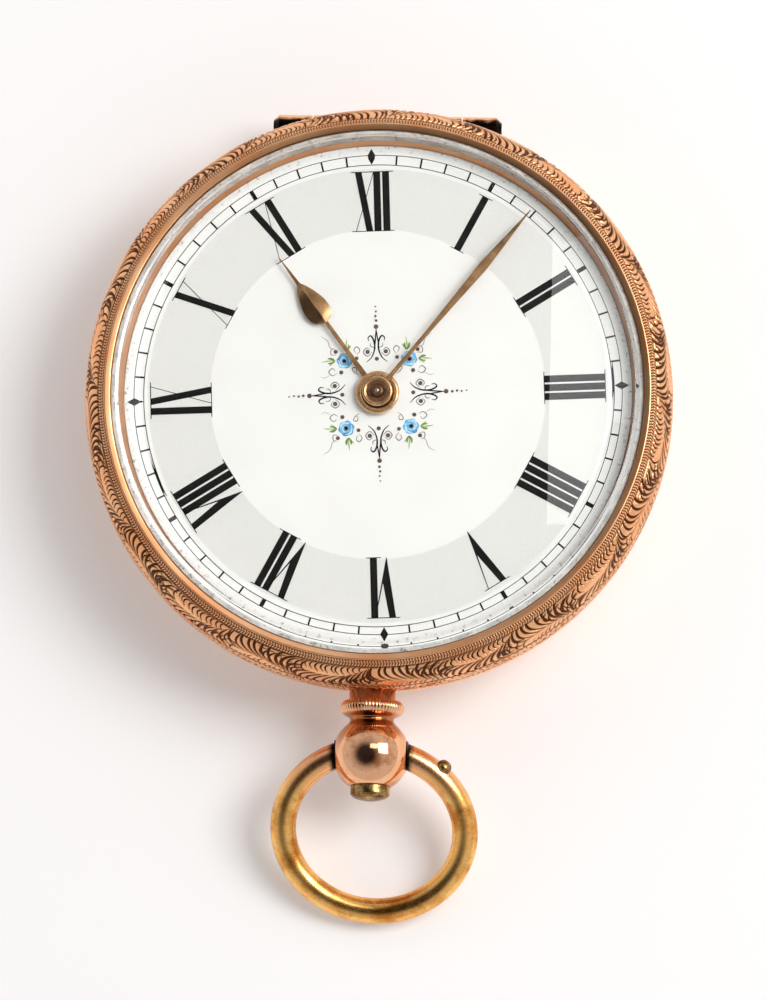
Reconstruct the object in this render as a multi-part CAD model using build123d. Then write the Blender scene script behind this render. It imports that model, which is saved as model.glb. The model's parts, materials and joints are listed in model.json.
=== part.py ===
from build123d import *

import os
from math import acos, asin, atan2, cos, degrees, hypot, pi, radians, sin, sqrt

# Open face pocket watch, key wound. Millimetres.
# Frame: the watch lies on its back. Z = 0 is the flat of the back cover, the dial looks up to +Z.
# +Y is the side of the case joint (12 o'clock), -Y the side of the pendant, +X is 3 o'clock.

os.makedirs("parts", exist_ok=True)

# ------------------------------------------------------------------ driving dimensions
CASE_R = 20.0               # outside radius of the case; the case and the movement follow it
RUNNING = 0.04              # radial clearance of pivots, pipes and joints
LOOSE = 0.10                # clearance where a piece only has to pass
SEAM = 0.05                 # gap between the case middle and the closed back cover
PIN_SIDES = 12              # small rods are drawn with flats
BOW_SIDES = 16


def from_here(start, distance, bearing):
    """The point at a distance and direction from another one."""
    return (start[0] + distance * cos(radians(bearing)), start[1] + distance * sin(radians(bearing)))


def pinion_r(wheel_r, teeth, leaves):
    return wheel_r * leaves / teeth


CENTRE = (0.0, 0.0)


def polar(place):
    return from_here(CENTRE, place[0], place[1])


# ------------------------------------------------------------------ radii of the case, from outside in
EDGE_IN = 0.1               # the band draws in this much at its upper edge
BAND_BEVEL = 0.45
COVER_INSET = 0.45          # the back cover is this much smaller than the band
ENGRAVED_W = 0.85           # engraved slope of the bezel
MILLED_W = 0.55             # milled border inside it
RING_W = 0.5                # plain polished ring beside the glass
GLASS_SEAT_W = 0.7          # the ledge under the glass
DIAL_PLAY = 0.2             # between the dial and the bezel
DIAL_LAP = 0.45             # the dial is wider than the counterbore below it
LEDGE_W = 0.55              # the ledge the mainplate lies on
MILLED_OUT_R = CASE_R - ENGRAVED_W
MILLED_IN_R = MILLED_OUT_R - MILLED_W
GLASS_R = MILLED_IN_R - RING_W
BEZEL_BORE_R = GLASS_R - GLASS_SEAT_W
DIAL_R = BEZEL_BORE_R - DIAL_PLAY
PLATE_SEAT_R = DIAL_R - DIAL_LAP    # counterbore the mainplate drops into
BORE_R = PLATE_SEAT_R - LEDGE_W     # bore round the movement
PLATE_FIT = 0.05
PLATE_R = PLATE_SEAT_R - PLATE_FIT
COVER_EDGE_R = CASE_R - COVER_INSET
COVER_SLOPE_W = 7.05
COVER_FLAT_R = COVER_EDGE_R - COVER_SLOPE_W     # the flat it rests on

# back cover and cuvette (the inner dust cover)
COVER_WALL = 0.5
COVER_DOME_H = 3.2
COVER_RIM_H = 0.4
COVER_STEPS = 3             # facets across the dome, outside
CUVETTE_GAP = 0.7           # from the inside of the back cover
CUVETTE_WALL = 0.4
CUVETTE_RISE = 0.95         # the raised border outside the flat
CUVETTE_SLOPE_W = 1.8
CUVETTE_FLAT_R = BORE_R - CUVETTE_SLOPE_W
SNAP_FIT = 0.06             # between the skirt and the lip it snaps over
LIP_LIFT = 0.35             # from the cuvette's border up to the lip
KEYHOLE_R = 1.25
GLASS_FIT = 0.03
GLASS_T = 0.85
GLASS_EDGE_T = 0.35
GLASS_BEVEL = 2.05          # width of the crystal's bevel
BEZEL_LIP_W = 0.2
BEZEL_SHOULDER = 0.22

# movement heights
MOVEMENT_GAP = 0.3          # from the cuvette to the balance cock
COCK_T = 0.6
BRIDGE_STEP = 0.3           # the bridges stand this much deeper than the cock
BRIDGE_T = 0.75
TRAIN_SPACE = 2.45          # between the bridges and the mainplate
PLATE_T = 0.8
MOTION_SPACE = 0.9          # between the mainplate and the dial
DIAL_LIFT = 0.1             # the dial stands this much above the band
DIAL_T = 0.7
DIAL_HOLE_R = 1.0
DIAL_TURN = 2.9             # the dial sits turned this much anticlockwise in the case
DIAL_FOOT_DEPTH = 0.5
HAND_GAP = 0.3
HAND_T = 0.25
HAND_STEP = 0.2
ARBOR_TIP = 0.12
GLASS_GAP = 0.35

# ------------------------------------------------------------------ levels
CUVETTE_Z = COVER_WALL + CUVETTE_GAP
MOVEMENT_Z = CUVETTE_Z + CUVETTE_WALL + MOVEMENT_GAP
COCK_TOP = MOVEMENT_Z + COCK_T
BRIDGE_Z = MOVEMENT_Z + BRIDGE_STEP
BRIDGE_TOP = BRIDGE_Z + BRIDGE_T
PLATE_Z = BRIDGE_TOP + TRAIN_SPACE
PLATE_TOP = PLATE_Z + PLATE_T
DIAL_Z = PLATE_TOP + MOTION_SPACE
DIAL_TOP = DIAL_Z + DIAL_T
HOUR_HAND_Z = DIAL_TOP + HAND_GAP
MINUTE_HAND_Z = HOUR_HAND_Z + HAND_T + HAND_STEP
HANDS_TOP = MINUTE_HAND_Z + HAND_T
GLASS_Z = HANDS_TOP + GLASS_GAP
GLASS_TOP = GLASS_Z + GLASS_T
COVER_TOP = COVER_DOME_H + COVER_RIM_H
BAND_Z = COVER_TOP + SEAM
BAND_TOP = DIAL_Z - DIAL_LIFT
BORDER_Z = CUVETTE_Z + CUVETTE_RISE
LIP_Z = BORDER_Z + LIP_LIFT
LIP_R = PLATE_SEAT_R
SKIRT_IN_R = LIP_R + SNAP_FIT
SKIRT_R = SKIRT_IN_R + CUVETTE_WALL
SKIRT_TOP = BAND_Z - 3 * SEAM

# ------------------------------------------------------------------ case joint: five knuckles on one pin
JOINT_IN = 0.25             # the joint's axis lies this far inside the case's outside
JOINT_R = 0.78
JOINT_PIN_R = 0.3
JOINT_DROP = 0.25           # the joint's axis lies this far below the band
JOINT_HALF = 7.9
COVER_KNUCKLE_W = 2.5
CUVETTE_KNUCKLE_W = 5.1
KNUCKLE_GAP = 0.08
JOINT_WEB_T = 0.44
JOINT_CUT = 1.25            # the cover's rim is cut straight this far inside the joint's axis
WEB_FOOT = 0.45             # each web starts this far inside that cut
WING_W = 2.0                # the outer knuckles stand on a shelf this wide
JOINT_Y = CASE_R - JOINT_IN
JOINT_Z = BAND_Z - JOINT_DROP
JOINT_CUT_Y = JOINT_Y - JOINT_CUT
COVER_KNUCKLE_X0 = CUVETTE_KNUCKLE_W / 2 + KNUCKLE_GAP
COVER_KNUCKLE_X1 = COVER_KNUCKLE_X0 + COVER_KNUCKLE_W
CASE_KNUCKLE_X = COVER_KNUCKLE_X1 + KNUCKLE_GAP

# ------------------------------------------------------------------ pendant, push button and bow
NECK_R = 1.58
NECK_L = 0.75
NECK_ROOT = 0.9             # how far the neck reaches into the band
COLLAR_R = 2.18
COLLAR_L = 1.0
WAIST_R = 1.45
WAIST_L = 0.4
BALL_R = 2.67
BALL_MOUTH_R = 1.45
PUSH_R = 1.35
PUSH_OUT = 0.95
PUSH_TRAVEL = 0.6
STEM_R = 0.4
BOW_HALF_W = 6.2
BOW_HALF_L = 5.76
BOW_WIRE_R = 0.875
BOW_GAP = 0.08              # between the ball and each end of the bow
BOW_NIB_R = 0.4
BOW_NIB_L = 0.85
BOW_NIB_ROOT = 0.3
BOW_SPARE = 12              # degrees of wire past each end, cut off flat
BOW_STUD_R = 0.52
BOW_STUD_H = 0.3
BOW_STUD_BEARING = 62
BALL_FLANK = sqrt(BALL_R ** 2 - WAIST_R ** 2)
BALL_Y = -(CASE_R + NECK_L + COLLAR_L + WAIST_L + BALL_FLANK)
BALL_MOUTH_Y = BALL_Y - sqrt(BALL_R ** 2 - BALL_MOUTH_R ** 2)
PENDANT_Z = PLATE_Z - STEM_R - LOOSE
BOW_PIVOT = (0, BALL_Y, PENDANT_Z)
BOW_END_X = BALL_R + BOW_GAP
BOW_CENTRE = BOW_HALF_L * sqrt(1 - (BOW_END_X / BOW_HALF_W) ** 2)
BOW_REACH = BOW_CENTRE + BOW_HALF_L
BOW_DROOP = degrees(asin((PENDANT_Z - BOW_WIRE_R) / BOW_REACH))

# lock spring inside the case middle, worked by the push button
SPRING_T = 0.65
SPRING_GAP = 0.45           # from the bore
SPRING_R = BORE_R - SPRING_GAP - SPRING_T
SPRING_EYE_R = 0.75
SPRING_EYE_BEARING = -57.0
SPRING_SCREW_R = 0.3
SPRING_SCREW_HEAD_T = 0.15
SPRING_FLOOR = 0.45         # below the back edge of the case middle
SPRING_SET = 0.15           # its top stays this much below the top of the stem
CATCH_W = 2.4
CATCH_T = 0.4
CATCH_GAP = 0.45            # from the catch to the back cover's rim
CATCH_NOTCH_W = CATCH_W + 1.0
SPRING_Z = BAND_Z - SPRING_FLOOR
SPRING_TOP = PENDANT_Z + STEM_R - SPRING_SET
SPRING_EYE = polar((SPRING_R + SPRING_T / 2, SPRING_EYE_BEARING))

# ------------------------------------------------------------------ movement: plate, feet and screws
PLATE_RIM_W = 0.8
SCREW_R = 0.42
SCREW_HEAD_R = 0.8
SCREW_HEAD_T = 0.3
SCREW_DEPTH = 0.6
JEWEL_R = 0.6
JEWEL_T = 0.3
FOOT_R = 1.3         # foot of each bridge, screwed to the mainplate
COCK_FOOT_R = 1.5
DIAL_FOOT_R = 0.35
CASE_SCREW_HEAD_R = 0.95
CASE_SCREW_LAP = 0.3        # how far each case screw's head reaches over the ledge
CASE_LEDGE_T = 0.35

# where each foot stands: distance from the centre and direction
BARREL_FOOT_INSET = 2.9     # from the plate's edge to the middle of each foot
CENTRE_FOOT_INSET = 3.3
TRAIN_FOOT_INSET = 2.6
ESCAPE_FOOT_INSET = 3.4
BALANCE_FOOT_INSET = 3.2
DIAL_FOOT_INSET = 2.7
BARREL_FEET = ((PLATE_R - BARREL_FOOT_INSET, 175.0), (PLATE_R - BARREL_FOOT_INSET, 82.5))
CENTRE_FOOT = (PLATE_R - CENTRE_FOOT_INSET, 40.0)
THIRD_FOOT = (PLATE_R - TRAIN_FOOT_INSET, 8.0)
FOURTH_FOOT = (PLATE_R - TRAIN_FOOT_INSET, -20.7)
ESCAPE_FOOT = (PLATE_R - ESCAPE_FOOT_INSET, -75.7)
BALANCE_FOOT = (PLATE_R - BALANCE_FOOT_INSET, 232.8)
DIAL_FEET = ((PLATE_R - DIAL_FOOT_INSET, 60.0), (PLATE_R - DIAL_FOOT_INSET, 215.0))
CASE_SCREWS = (155.0, -40.0)
BRIDGE_FEET = BARREL_FEET + (CENTRE_FOOT, THIRD_FOOT, FOURTH_FOOT, ESCAPE_FOOT, BALANCE_FOOT)

# train: tooth counts, pitch radii and the direction of each arbor from the one that drives it
BARREL_TEETH = 60
CENTRE_LEAVES = 10
CENTRE_TEETH = 48
THIRD_LEAVES = 6
THIRD_TEETH = 45
FOURTH_LEAVES = 6
FOURTH_TEETH = 60
ESCAPE_LEAVES = 6
ESCAPE_TEETH = 15
MOTION_LEAVES = 10
MINUTE_TEETH = 30
MINUTE_LEAVES = 8
HOUR_TEETH = 32
BARREL_ROOM = 1.9           # from the great wheel's pitch circle to the bore
BARREL_PITCH_R = (BORE_R - BARREL_ROOM) / (2 + CENTRE_LEAVES / BARREL_TEETH)
MODULE = 2 * BARREL_PITCH_R / BARREL_TEETH
THIRD_FINENESS = 0.85       # modules of the later wheels beside the great wheel's
FOURTH_FINENESS = 0.545
CENTRE_PITCH_R = MODULE * CENTRE_TEETH / 2
THIRD_PITCH_R = THIRD_FINENESS * MODULE * THIRD_TEETH / 2
FOURTH_PITCH_R = FOURTH_FINENESS * MODULE * FOURTH_TEETH / 2
ESCAPE_R = 10 * MODULE
BALANCE_R = 24.5 * MODULE
MOTION_MODULE = 0.13
BARREL_BEARING = 135.0
THIRD_BEARING = -10.0
FOURTH_BEARING = -100.0
ESCAPE_BEARING = 190.0
BALANCE_BEARING = 191.0
MINUTE_BEARING = 60.0

# wheels and arbors
WHEEL_T = 0.22
GREAT_T = 0.3
PINION_T = 0.45
ARBOR_R = 0.28
PIVOT_R = 0.12
PIVOT_SHARE = 0.6           # how deep a pivot stands in the mainplate, as a share of its thickness
RIM_W = 0.45         # rim of the crossed-out wheels below the teeth
HUB_R = 0.75
CENTRE_HUB_R = 1.15
ARM_W = 0.42
ARMS = 4
ADDENDUM = 0.95             # in modules
DEDENDUM = 1.25
TOOTH_FOOT = 0.62           # width of a tooth at its root, as a share of the pitch
END_SHAKE = 0.05            # between an arbor's shoulder and the plate
CENTRE_ARBOR_R = 0.6
SETTING_ARBOR_R = 0.3
SETTING_FIT = 0.02
BALANCE_RIM_W = 0.65
BALANCE_HUB_R = 0.7
BALANCE_ARM_W = 0.6
BALANCE_T = 0.35
STAFF_R = 0.32
STAFF_GAP = 0.1             # between the escape wheel and the staff
ESCAPE_COCK_T = 0.3
ESCAPE_JEWEL_R = 0.45
ESCAPE_END_R = 0.9
ESCAPE_FOOT_R = 1.2
ESCAPE_TOOTH_H = 0.28
HAIRSPRING_R = 2.3
HAIRSPRING_TURNS = 4
HAIRSPRING_W = 0.07
HAIRSPRING_T = 0.15
STUD_R = 0.3
CAP_R = 0.8
CAP_T = 0.18
REGULATOR_T = 0.15
REGULATOR_R = 1.1
REGULATOR_L = 4.2
REGULATOR_TIP_R = 0.18
REGULATOR_BEARING = -55.0

# barrel, keyless squares and click
BARREL_STEP = 0.7           # the drum is this much smaller than the great wheel's pitch circle
BARREL_R = BARREL_PITCH_R - BARREL_STEP
BARREL_H = 1.35
BARREL_WALL = 0.4
BARREL_LID_T = 0.25
BARREL_END_R = 2.6
BARREL_PIVOT_R = 0.5
WINDING_ARBOR_R = 0.8
SQUARE_W = 1.0              # both squares fit one key
SQUARE_LIFT = 0.1           # from the cuvette's outside to the end of each square
MAINSPRING_TURNS = 5
MAINSPRING_W = 0.2
SPIRAL_STEPS = 12           # straight pieces in a turn of either spring
RATCHET_TEETH = 18
RATCHET_R = 1.9
RATCHET_T = 0.28
CLICK_SCREW_R = 0.25
CLICK_HEAD_R = 0.42
CLICK_HEAD_T = 0.15
CLICK_R = 0.5
CLICK_TIP_R = 0.16
CLICK_STEP = 3.6
CLICK_GAP = 0.05
CLICK_LEAD = 22             # degrees from the click's pivot to its tip, seen from the barrel
CLICK_SPRING_L = 2.6
CLICK_SPRING_R = 0.35
CLICK_SPRING_TIP_R = 0.09
CLICK_SPRING_T = 0.2

# motion work and hands
CANNON_R = 0.46
HOUR_PIPE_R = 0.76
MINUTE_POST_R = 0.2
POST_DEPTH = 0.4
MOTION_LIFT = 0.08
MOTION_LEAF_T = 0.3
HOUR_ANGLE = 326.0          # both clockwise from 12
MINUTE_ANGLE = 41.4
HOUR_HAND_INSET = 5.5       # from the dial's edge to each hand's tip
MINUTE_HAND_INSET = 0.9
HOUR_HAND_L = DIAL_R - HOUR_HAND_INSET
MINUTE_HAND_L = DIAL_R - MINUTE_HAND_INSET
HOUR_BOSS_R = 1.49
MINUTE_BOSS_R = 0.96
HOUR_LEAF_W = 1.75
MINUTE_LEAF_W = 0.65
HOUR_NECK_W = 0.32
MINUTE_NECK_W = 0.3
HOUR_LEAF_SHARES = (0.51, 0.62, 0.795)   # where the pear starts, is widest and ends, along the hand
MINUTE_LEAF_SHARES = (0.31, 0.705)       # where the lozenge starts and is widest

# ------------------------------------------------------------------ places in the movement
CENTRE_PINION_R = pinion_r(BARREL_PITCH_R, BARREL_TEETH, CENTRE_LEAVES)
THIRD_PINION_R = pinion_r(CENTRE_PITCH_R, CENTRE_TEETH, THIRD_LEAVES)
FOURTH_PINION_R = pinion_r(THIRD_PITCH_R, THIRD_TEETH, FOURTH_LEAVES)
ESCAPE_PINION_R = pinion_r(FOURTH_PITCH_R, FOURTH_TEETH, ESCAPE_LEAVES)
BARREL = from_here(CENTRE, BARREL_PITCH_R + CENTRE_PINION_R, BARREL_BEARING)
THIRD = from_here(CENTRE, CENTRE_PITCH_R + THIRD_PINION_R, THIRD_BEARING)
FOURTH = from_here(THIRD, THIRD_PITCH_R + FOURTH_PINION_R, FOURTH_BEARING)
ESCAPE = from_here(FOURTH, FOURTH_PITCH_R + ESCAPE_PINION_R, ESCAPE_BEARING)
BALANCE = from_here(ESCAPE, ESCAPE_R + STAFF_GAP + STAFF_R, BALANCE_BEARING)
MOTION_STEP = MOTION_MODULE * (MOTION_LEAVES + MINUTE_TEETH) / 2
MINUTE_POST = from_here(CENTRE, MOTION_STEP, MINUTE_BEARING)
STUD_AT = from_here(BALANCE, HAIRSPRING_R + STUD_R + HAIRSPRING_W / 2, BALANCE_FOOT[1])
CLICK_FOOT = polar(BARREL_FEET[1])
CLICK_BEARING = degrees(atan2(CLICK_FOOT[1] - BARREL[1], CLICK_FOOT[0] - BARREL[0]))
CLICK_AT = from_here(BARREL, CLICK_STEP, CLICK_BEARING)
RATCHET_TIP_R = RATCHET_R + ADDENDUM * 2 * RATCHET_R / RATCHET_TEETH
CLICK_TIP = from_here(BARREL, RATCHET_TIP_R + CLICK_TIP_R + CLICK_GAP, CLICK_BEARING - CLICK_LEAD)
CASE_SCREW_STEP = BORE_R - CASE_SCREW_HEAD_R + CASE_SCREW_LAP

GREAT_Z = BRIDGE_TOP + 0.1
BARREL_Z = GREAT_Z + GREAT_T
BARREL_TOP = BARREL_Z + BARREL_H
CENTRE_Z = PLATE_Z - 0.3 - WHEEL_T
THIRD_Z = BRIDGE_TOP + 0.55
FOURTH_Z = CENTRE_Z - 0.2 - WHEEL_T
ESCAPE_Z = FOURTH_Z - 0.25 - WHEEL_T
BALANCE_Z = BRIDGE_TOP + END_SHAKE
ESCAPE_COCK_Z = BALANCE_Z + BALANCE_T + LOOSE
ESCAPE_COCK_TOP = ESCAPE_COCK_Z + ESCAPE_COCK_T
HAIRSPRING_Z = COCK_TOP + 0.15
ARBOR_LOW = BRIDGE_TOP + END_SHAKE
ARBOR_HIGH = PLATE_Z - END_SHAKE
PIVOT_TOP = PLATE_Z + PLATE_T * PIVOT_SHARE
SQUARE_Z = CUVETTE_Z + SQUARE_LIFT
RATCHET_Z = BRIDGE_Z - RUNNING - RATCHET_T
CASE_SCREW_Z = PLATE_Z - CASE_LEDGE_T - SCREW_HEAD_T
MOTION_Z = PLATE_TOP + MOTION_LIFT
HOUR_WHEEL_Z = MOTION_Z + MOTION_LEAF_T + LOOSE
CANNON_BORE_R = SETTING_ARBOR_R + SETTING_FIT
HOUR_PIPE_IN_R = CANNON_R + RUNNING
CANNON_PITCH_R = MOTION_MODULE * MOTION_LEAVES / 2
MINUTE_PITCH_R = MOTION_MODULE * MINUTE_TEETH / 2
MINUTE_PINION_R = MOTION_MODULE * MINUTE_LEAVES / 2
HOUR_PITCH_R = MOTION_MODULE * HOUR_TEETH / 2


# ------------------------------------------------------------------ shapes used again and again
def turned(points):
    """A solid turned about Z from its outline of (radius, height) points."""
    outline = Polyline(*[(r, 0, z) for r, z in points], close=True)
    return revolve(make_face(outline), Axis.Z)


def disc(radius, low, high, at=CENTRE):
    rod = Cylinder(radius, high - low, align=(Align.CENTER, Align.CENTER, Align.MIN))
    return Pos(at[0], at[1], low) * rod


def tube(outer, inner, low, high, at=CENTRE):
    return disc(outer, low, high, at) - disc(inner, low - 1, high + 1, at)


def pin(radius, low, high, at=CENTRE):
    """A thin rod. Rods this small are drawn with flats, their corners on the true radius."""
    section = RegularPolygon(radius, PIN_SIDES, major_radius=True)
    return Pos(at[0], at[1], low) * extrude(section, amount=high - low)


def pin_hole(radius, low, high, at=CENTRE):
    """The hole for a thin rod, its flats outside the true radius."""
    section = RegularPolygon(radius, PIN_SIDES, major_radius=False)
    return Pos(at[0], at[1], low) * extrude(section, amount=high - low)


def square_rod(width, low, high, at=CENTRE):
    rod = Box(width, width, high - low, align=(Align.CENTER, Align.CENTER, Align.MIN))
    return Pos(at[0], at[1], low) * rod


def rod_x(radius, x0, x1, y, z):
    """A rod along X."""
    rod = Cylinder(radius, x1 - x0, align=(Align.CENTER, Align.CENTER, Align.MIN))
    return Pos(x0, y, z) * Rot(0, 90, 0) * rod


def rod_y(radius, y0, y1, x, z):
    """A rod along Y."""
    rod = Cylinder(radius, y1 - y0, align=(Align.CENTER, Align.CENTER, Align.MIN))
    return Pos(x, y0, z) * Rot(-90, 0, 0) * rod


def slab(points, low, high):
    """A flat plate from its outline in X and Y."""
    outline = Polyline(*[(x, y, low) for x, y in points], close=True)
    return extrude(make_face(outline), amount=high - low, dir=(0, 0, 1))


def bar(start, end, radius0, radius1, low, high):
    """A bridge finger: two round ends joined by a straight-sided web."""
    dx = end[0] - start[0]
    dy = end[1] - start[1]
    length = hypot(dx, dy)
    nx = -dy / length
    ny = dx / length
    web = slab(
        [
            (start[0] + nx * radius0, start[1] + ny * radius0),
            (start[0] - nx * radius0, start[1] - ny * radius0),
            (end[0] - nx * radius1, end[1] - ny * radius1),
            (end[0] + nx * radius1, end[1] + ny * radius1),
        ],
        low,
        high,
    )
    return disc(radius0, low, high, start) + web + disc(radius1, low, high, end)


def toothed(teeth, pitch_r, low, high, at=CENTRE, phase=0.0):
    """A wheel blank with ogival teeth. The phase is the direction of one tooth, in degrees."""
    module = 2 * pitch_r / teeth
    tip = pitch_r + ADDENDUM * module
    root = pitch_r - DEDENDUM * module
    pitch = 2 * pi / teeth
    half_foot = TOOTH_FOOT * pitch / 2
    points = []
    for n in range(teeth):
        middle = radians(phase) + n * pitch
        for radius, angle in ((root, middle - half_foot), (tip, middle), (root, middle + half_foot)):
            points.append((at[0] + radius * cos(angle), at[1] + radius * sin(angle)))
    return slab(points, low, high)


def crossing(outer, inner, arm_w, low, high, at=CENTRE, phase=0.0, arms=ARMS):
    """The openings between the arms of a wheel, to be cut away."""
    openings = None
    for n in range(arms):
        start = phase + 360 / arms * n
        at_outer = degrees(asin(arm_w / 2 / outer))
        at_inner = degrees(asin(arm_w / 2 / inner))
        corners = [
            from_here(CENTRE, inner, start + at_inner),
            from_here(CENTRE, outer, start + at_outer),
            from_here(CENTRE, outer, start + 360 / arms - at_outer),
            from_here(CENTRE, inner, start + 360 / arms - at_inner),
        ]
        outline = Line(corners[0], corners[1])
        outline += ThreePointArc(corners[1], from_here(CENTRE, outer, start + 180 / arms), corners[2])
        outline += Line(corners[2], corners[3])
        outline += Line(corners[3], corners[0])
        opening = extrude(make_face(outline), amount=high - low + 2)
        opening = Pos(at[0], at[1], low - 1) * opening
        openings = opening if openings is None else openings + opening
    return openings


def mesh_phase(bearing, teeth, tooth_faces):
    """The phase that puts a tooth, or a gap between teeth, on a bearing."""
    return bearing if tooth_faces else bearing + 180 / teeth


def train_wheel(teeth, pitch_r, low, leaves, leaf_r, leaf_low, at, phase, leaf_phase, top, bottom):
    """A crossed-out wheel riveted on its pinion, with its arbor and two pivots."""
    module = 2 * pitch_r / teeth
    rim_in = pitch_r - DEDENDUM * module - RIM_W
    wheel = toothed(teeth, pitch_r, low, low + WHEEL_T, at, phase)
    wheel -= crossing(rim_in, HUB_R, ARM_W, low, low + WHEEL_T, at, phase)
    pinion = toothed(leaves, leaf_r, leaf_low, leaf_low + PINION_T, at, leaf_phase)
    arbor = pin(arbor_r(leaf_r, leaves), bottom, top, at)
    pivots = pin(PIVOT_R, bottom - JEWEL_T, PIVOT_TOP, at)
    return wheel + pinion + arbor + pivots


def write(name, *solids):
    """Writes one sub-part; what repeats in it stays a solid of its own."""
    shape = solids[0] if len(solids) == 1 else Compound(children=list(solids))
    export_step(shape, f"parts/{name}.step")


def dome(flat_r, height, centre_z, radius, steps):
    """Points of a shallow dome: a flat, then facets along an arc that starts level."""
    end = acos((centre_z - height) / radius)
    return [
        (flat_r + radius * sin(end * n / steps), centre_z - radius * cos(end * n / steps))
        for n in range(steps + 1)
    ]


# ------------------------------------------------------------------ case
def knuckle(x0, x1):
    return rod_x(JOINT_R, x0, x1, JOINT_Y, JOINT_Z)


def joint_bore():
    return rod_x(JOINT_PIN_R + RUNNING, -JOINT_HALF - 1, JOINT_HALF + 1, JOINT_Y, JOINT_Z)


def case_middle():
    band = turned(
        [
            (LIP_R, BAND_TOP),
            (CASE_R - EDGE_IN, BAND_TOP),
            (CASE_R, BAND_TOP - BAND_BEVEL),
            (CASE_R, BAND_Z + BAND_BEVEL),
            (CASE_R - BAND_BEVEL, BAND_Z),
            (LIP_R, BAND_Z),
            (LIP_R, LIP_Z),
            (BORE_R, LIP_Z),
            (BORE_R, PLATE_Z),
            (LIP_R, PLATE_Z),
        ]
    )
    # room for the moving knuckles, then the two outer knuckles, each with a tapered end and its shelf
    clear = JOINT_R + LOOSE
    band -= rod_x(clear, -CASE_KNUCKLE_X, CASE_KNUCKLE_X, JOINT_Y, JOINT_Z)
    for side in (-1, 1):
        ends = sorted((side * CASE_KNUCKLE_X, side * JOINT_HALF))
        wing = chamfer(knuckle(*ends).edges().sort_by(Axis.X)[-1 if side > 0 else 0], JOINT_R * 0.5)
        shelf = Box(
            JOINT_HALF - CASE_KNUCKLE_X - JOINT_R / 2,
            WING_W,
            JOINT_Z + JOINT_R - BAND_Z,
            align=(Align.MIN if side > 0 else Align.MAX, Align.MAX, Align.MIN),
        )
        band += wing + Pos(side * CASE_KNUCKLE_X, JOINT_Y, BAND_Z) * shelf
    band -= joint_bore()
    # way through for the push button's stem, and the notch for the catch
    band -= rod_y(STEM_R + RUNNING, -CASE_R - 1, -BORE_R + 1, 0, PENDANT_Z)
    notch = Box(CATCH_NOTCH_W, 4 * LEDGE_W, BAND_Z - LIP_Z, align=(Align.CENTER, Align.CENTER, Align.MAX))
    band -= Pos(0, -BORE_R, BAND_Z) * notch
    # the lug that carries the lock spring
    wall = polar((LIP_R - SPRING_EYE_R, SPRING_EYE_BEARING))
    band += bar(SPRING_EYE, wall, SPRING_EYE_R, SPRING_EYE_R, LIP_Z, SPRING_Z - RUNNING)
    band -= pin_hole(SPRING_SCREW_R, LIP_Z, SPRING_Z, SPRING_EYE)
    for bearing in CASE_SCREWS:
        head_at = polar((CASE_SCREW_STEP, bearing))
        band -= pin_hole(CASE_SCREW_HEAD_R + LOOSE, CASE_SCREW_Z - LOOSE, PLATE_Z - CASE_LEDGE_T, head_at)
    return band


def bezel():
    glass_seat = GLASS_R + GLASS_FIT
    rise = GLASS_Z - BAND_TOP
    return turned(
        [
            (BEZEL_BORE_R, BAND_TOP),
            (CASE_R - EDGE_IN, BAND_TOP),
            (CASE_R, BAND_TOP + 0.14 * rise),
            (CASE_R - BEZEL_SHOULDER, BAND_TOP + 0.46 * rise),
            (MILLED_OUT_R, BAND_TOP + 0.81 * rise),
            (MILLED_IN_R, GLASS_Z + SEAM),
            (glass_seat + BEZEL_LIP_W, GLASS_Z + GLASS_EDGE_T),
            (glass_seat, GLASS_Z + GLASS_EDGE_T),
            (glass_seat, GLASS_Z),
            (BEZEL_BORE_R, GLASS_Z),
        ]
    )


def crystal():
    return turned(
        [
            (0, GLASS_Z),
            (GLASS_R, GLASS_Z),
            (GLASS_R, GLASS_Z + GLASS_EDGE_T),
            (GLASS_R - GLASS_BEVEL, GLASS_TOP),
            (0, GLASS_TOP),
        ]
    )


def back_cover():
    span = COVER_EDGE_R - COVER_FLAT_R
    radius = (span ** 2 + COVER_DOME_H ** 2) / (2 * COVER_DOME_H)
    outside = dome(COVER_FLAT_R, COVER_DOME_H, radius, radius, COVER_STEPS)
    inside = dome(COVER_FLAT_R, COVER_DOME_H, radius, radius - COVER_WALL, COVER_STEPS - 1)
    outline = [(0, 0)] + outside + [(COVER_EDGE_R, COVER_TOP), (inside[-1][0], COVER_TOP)]
    cover = turned(outline + inside[::-1] + [(0, COVER_WALL)])
    away = Box(4 * CASE_R, CASE_R, 2 * COVER_TOP + 2, align=(Align.CENTER, Align.MIN, Align.CENTER))
    cover -= Pos(0, JOINT_CUT_Y, 0) * away
    # each knuckle stands on a web that leaves the dome's wall
    wall_mid = radius - COVER_WALL / 2
    foot_y = JOINT_CUT_Y - WEB_FOOT
    foot_z = radius - sqrt(wall_mid ** 2 - (foot_y - COVER_FLAT_R) ** 2)
    for side in (-1, 1):
        x0, x1 = sorted((side * COVER_KNUCKLE_X0, side * COVER_KNUCKLE_X1))
        cover += joint_web(foot_y, foot_z, x0, x1) + knuckle(x0, x1)
    return cover - joint_bore()


def joint_web(foot_y, foot_z, x0, x1):
    """A flat web from a foot to the joint's axis, between two places along X."""
    along_y = JOINT_Y - foot_y
    along_z = JOINT_Z - foot_z
    length = hypot(along_y, along_z)
    off_y = -along_z / length * JOINT_WEB_T / 2
    off_z = along_y / length * JOINT_WEB_T / 2
    outline = Polyline(
        (x0, foot_y + off_y, foot_z + off_z),
        (x0, JOINT_Y + off_y, JOINT_Z + off_z),
        (x0, JOINT_Y - off_y, JOINT_Z - off_z),
        (x0, foot_y - off_y, foot_z - off_z),
        close=True,
    )
    return extrude(make_face(outline), amount=x1 - x0, dir=(1, 0, 0))


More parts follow.
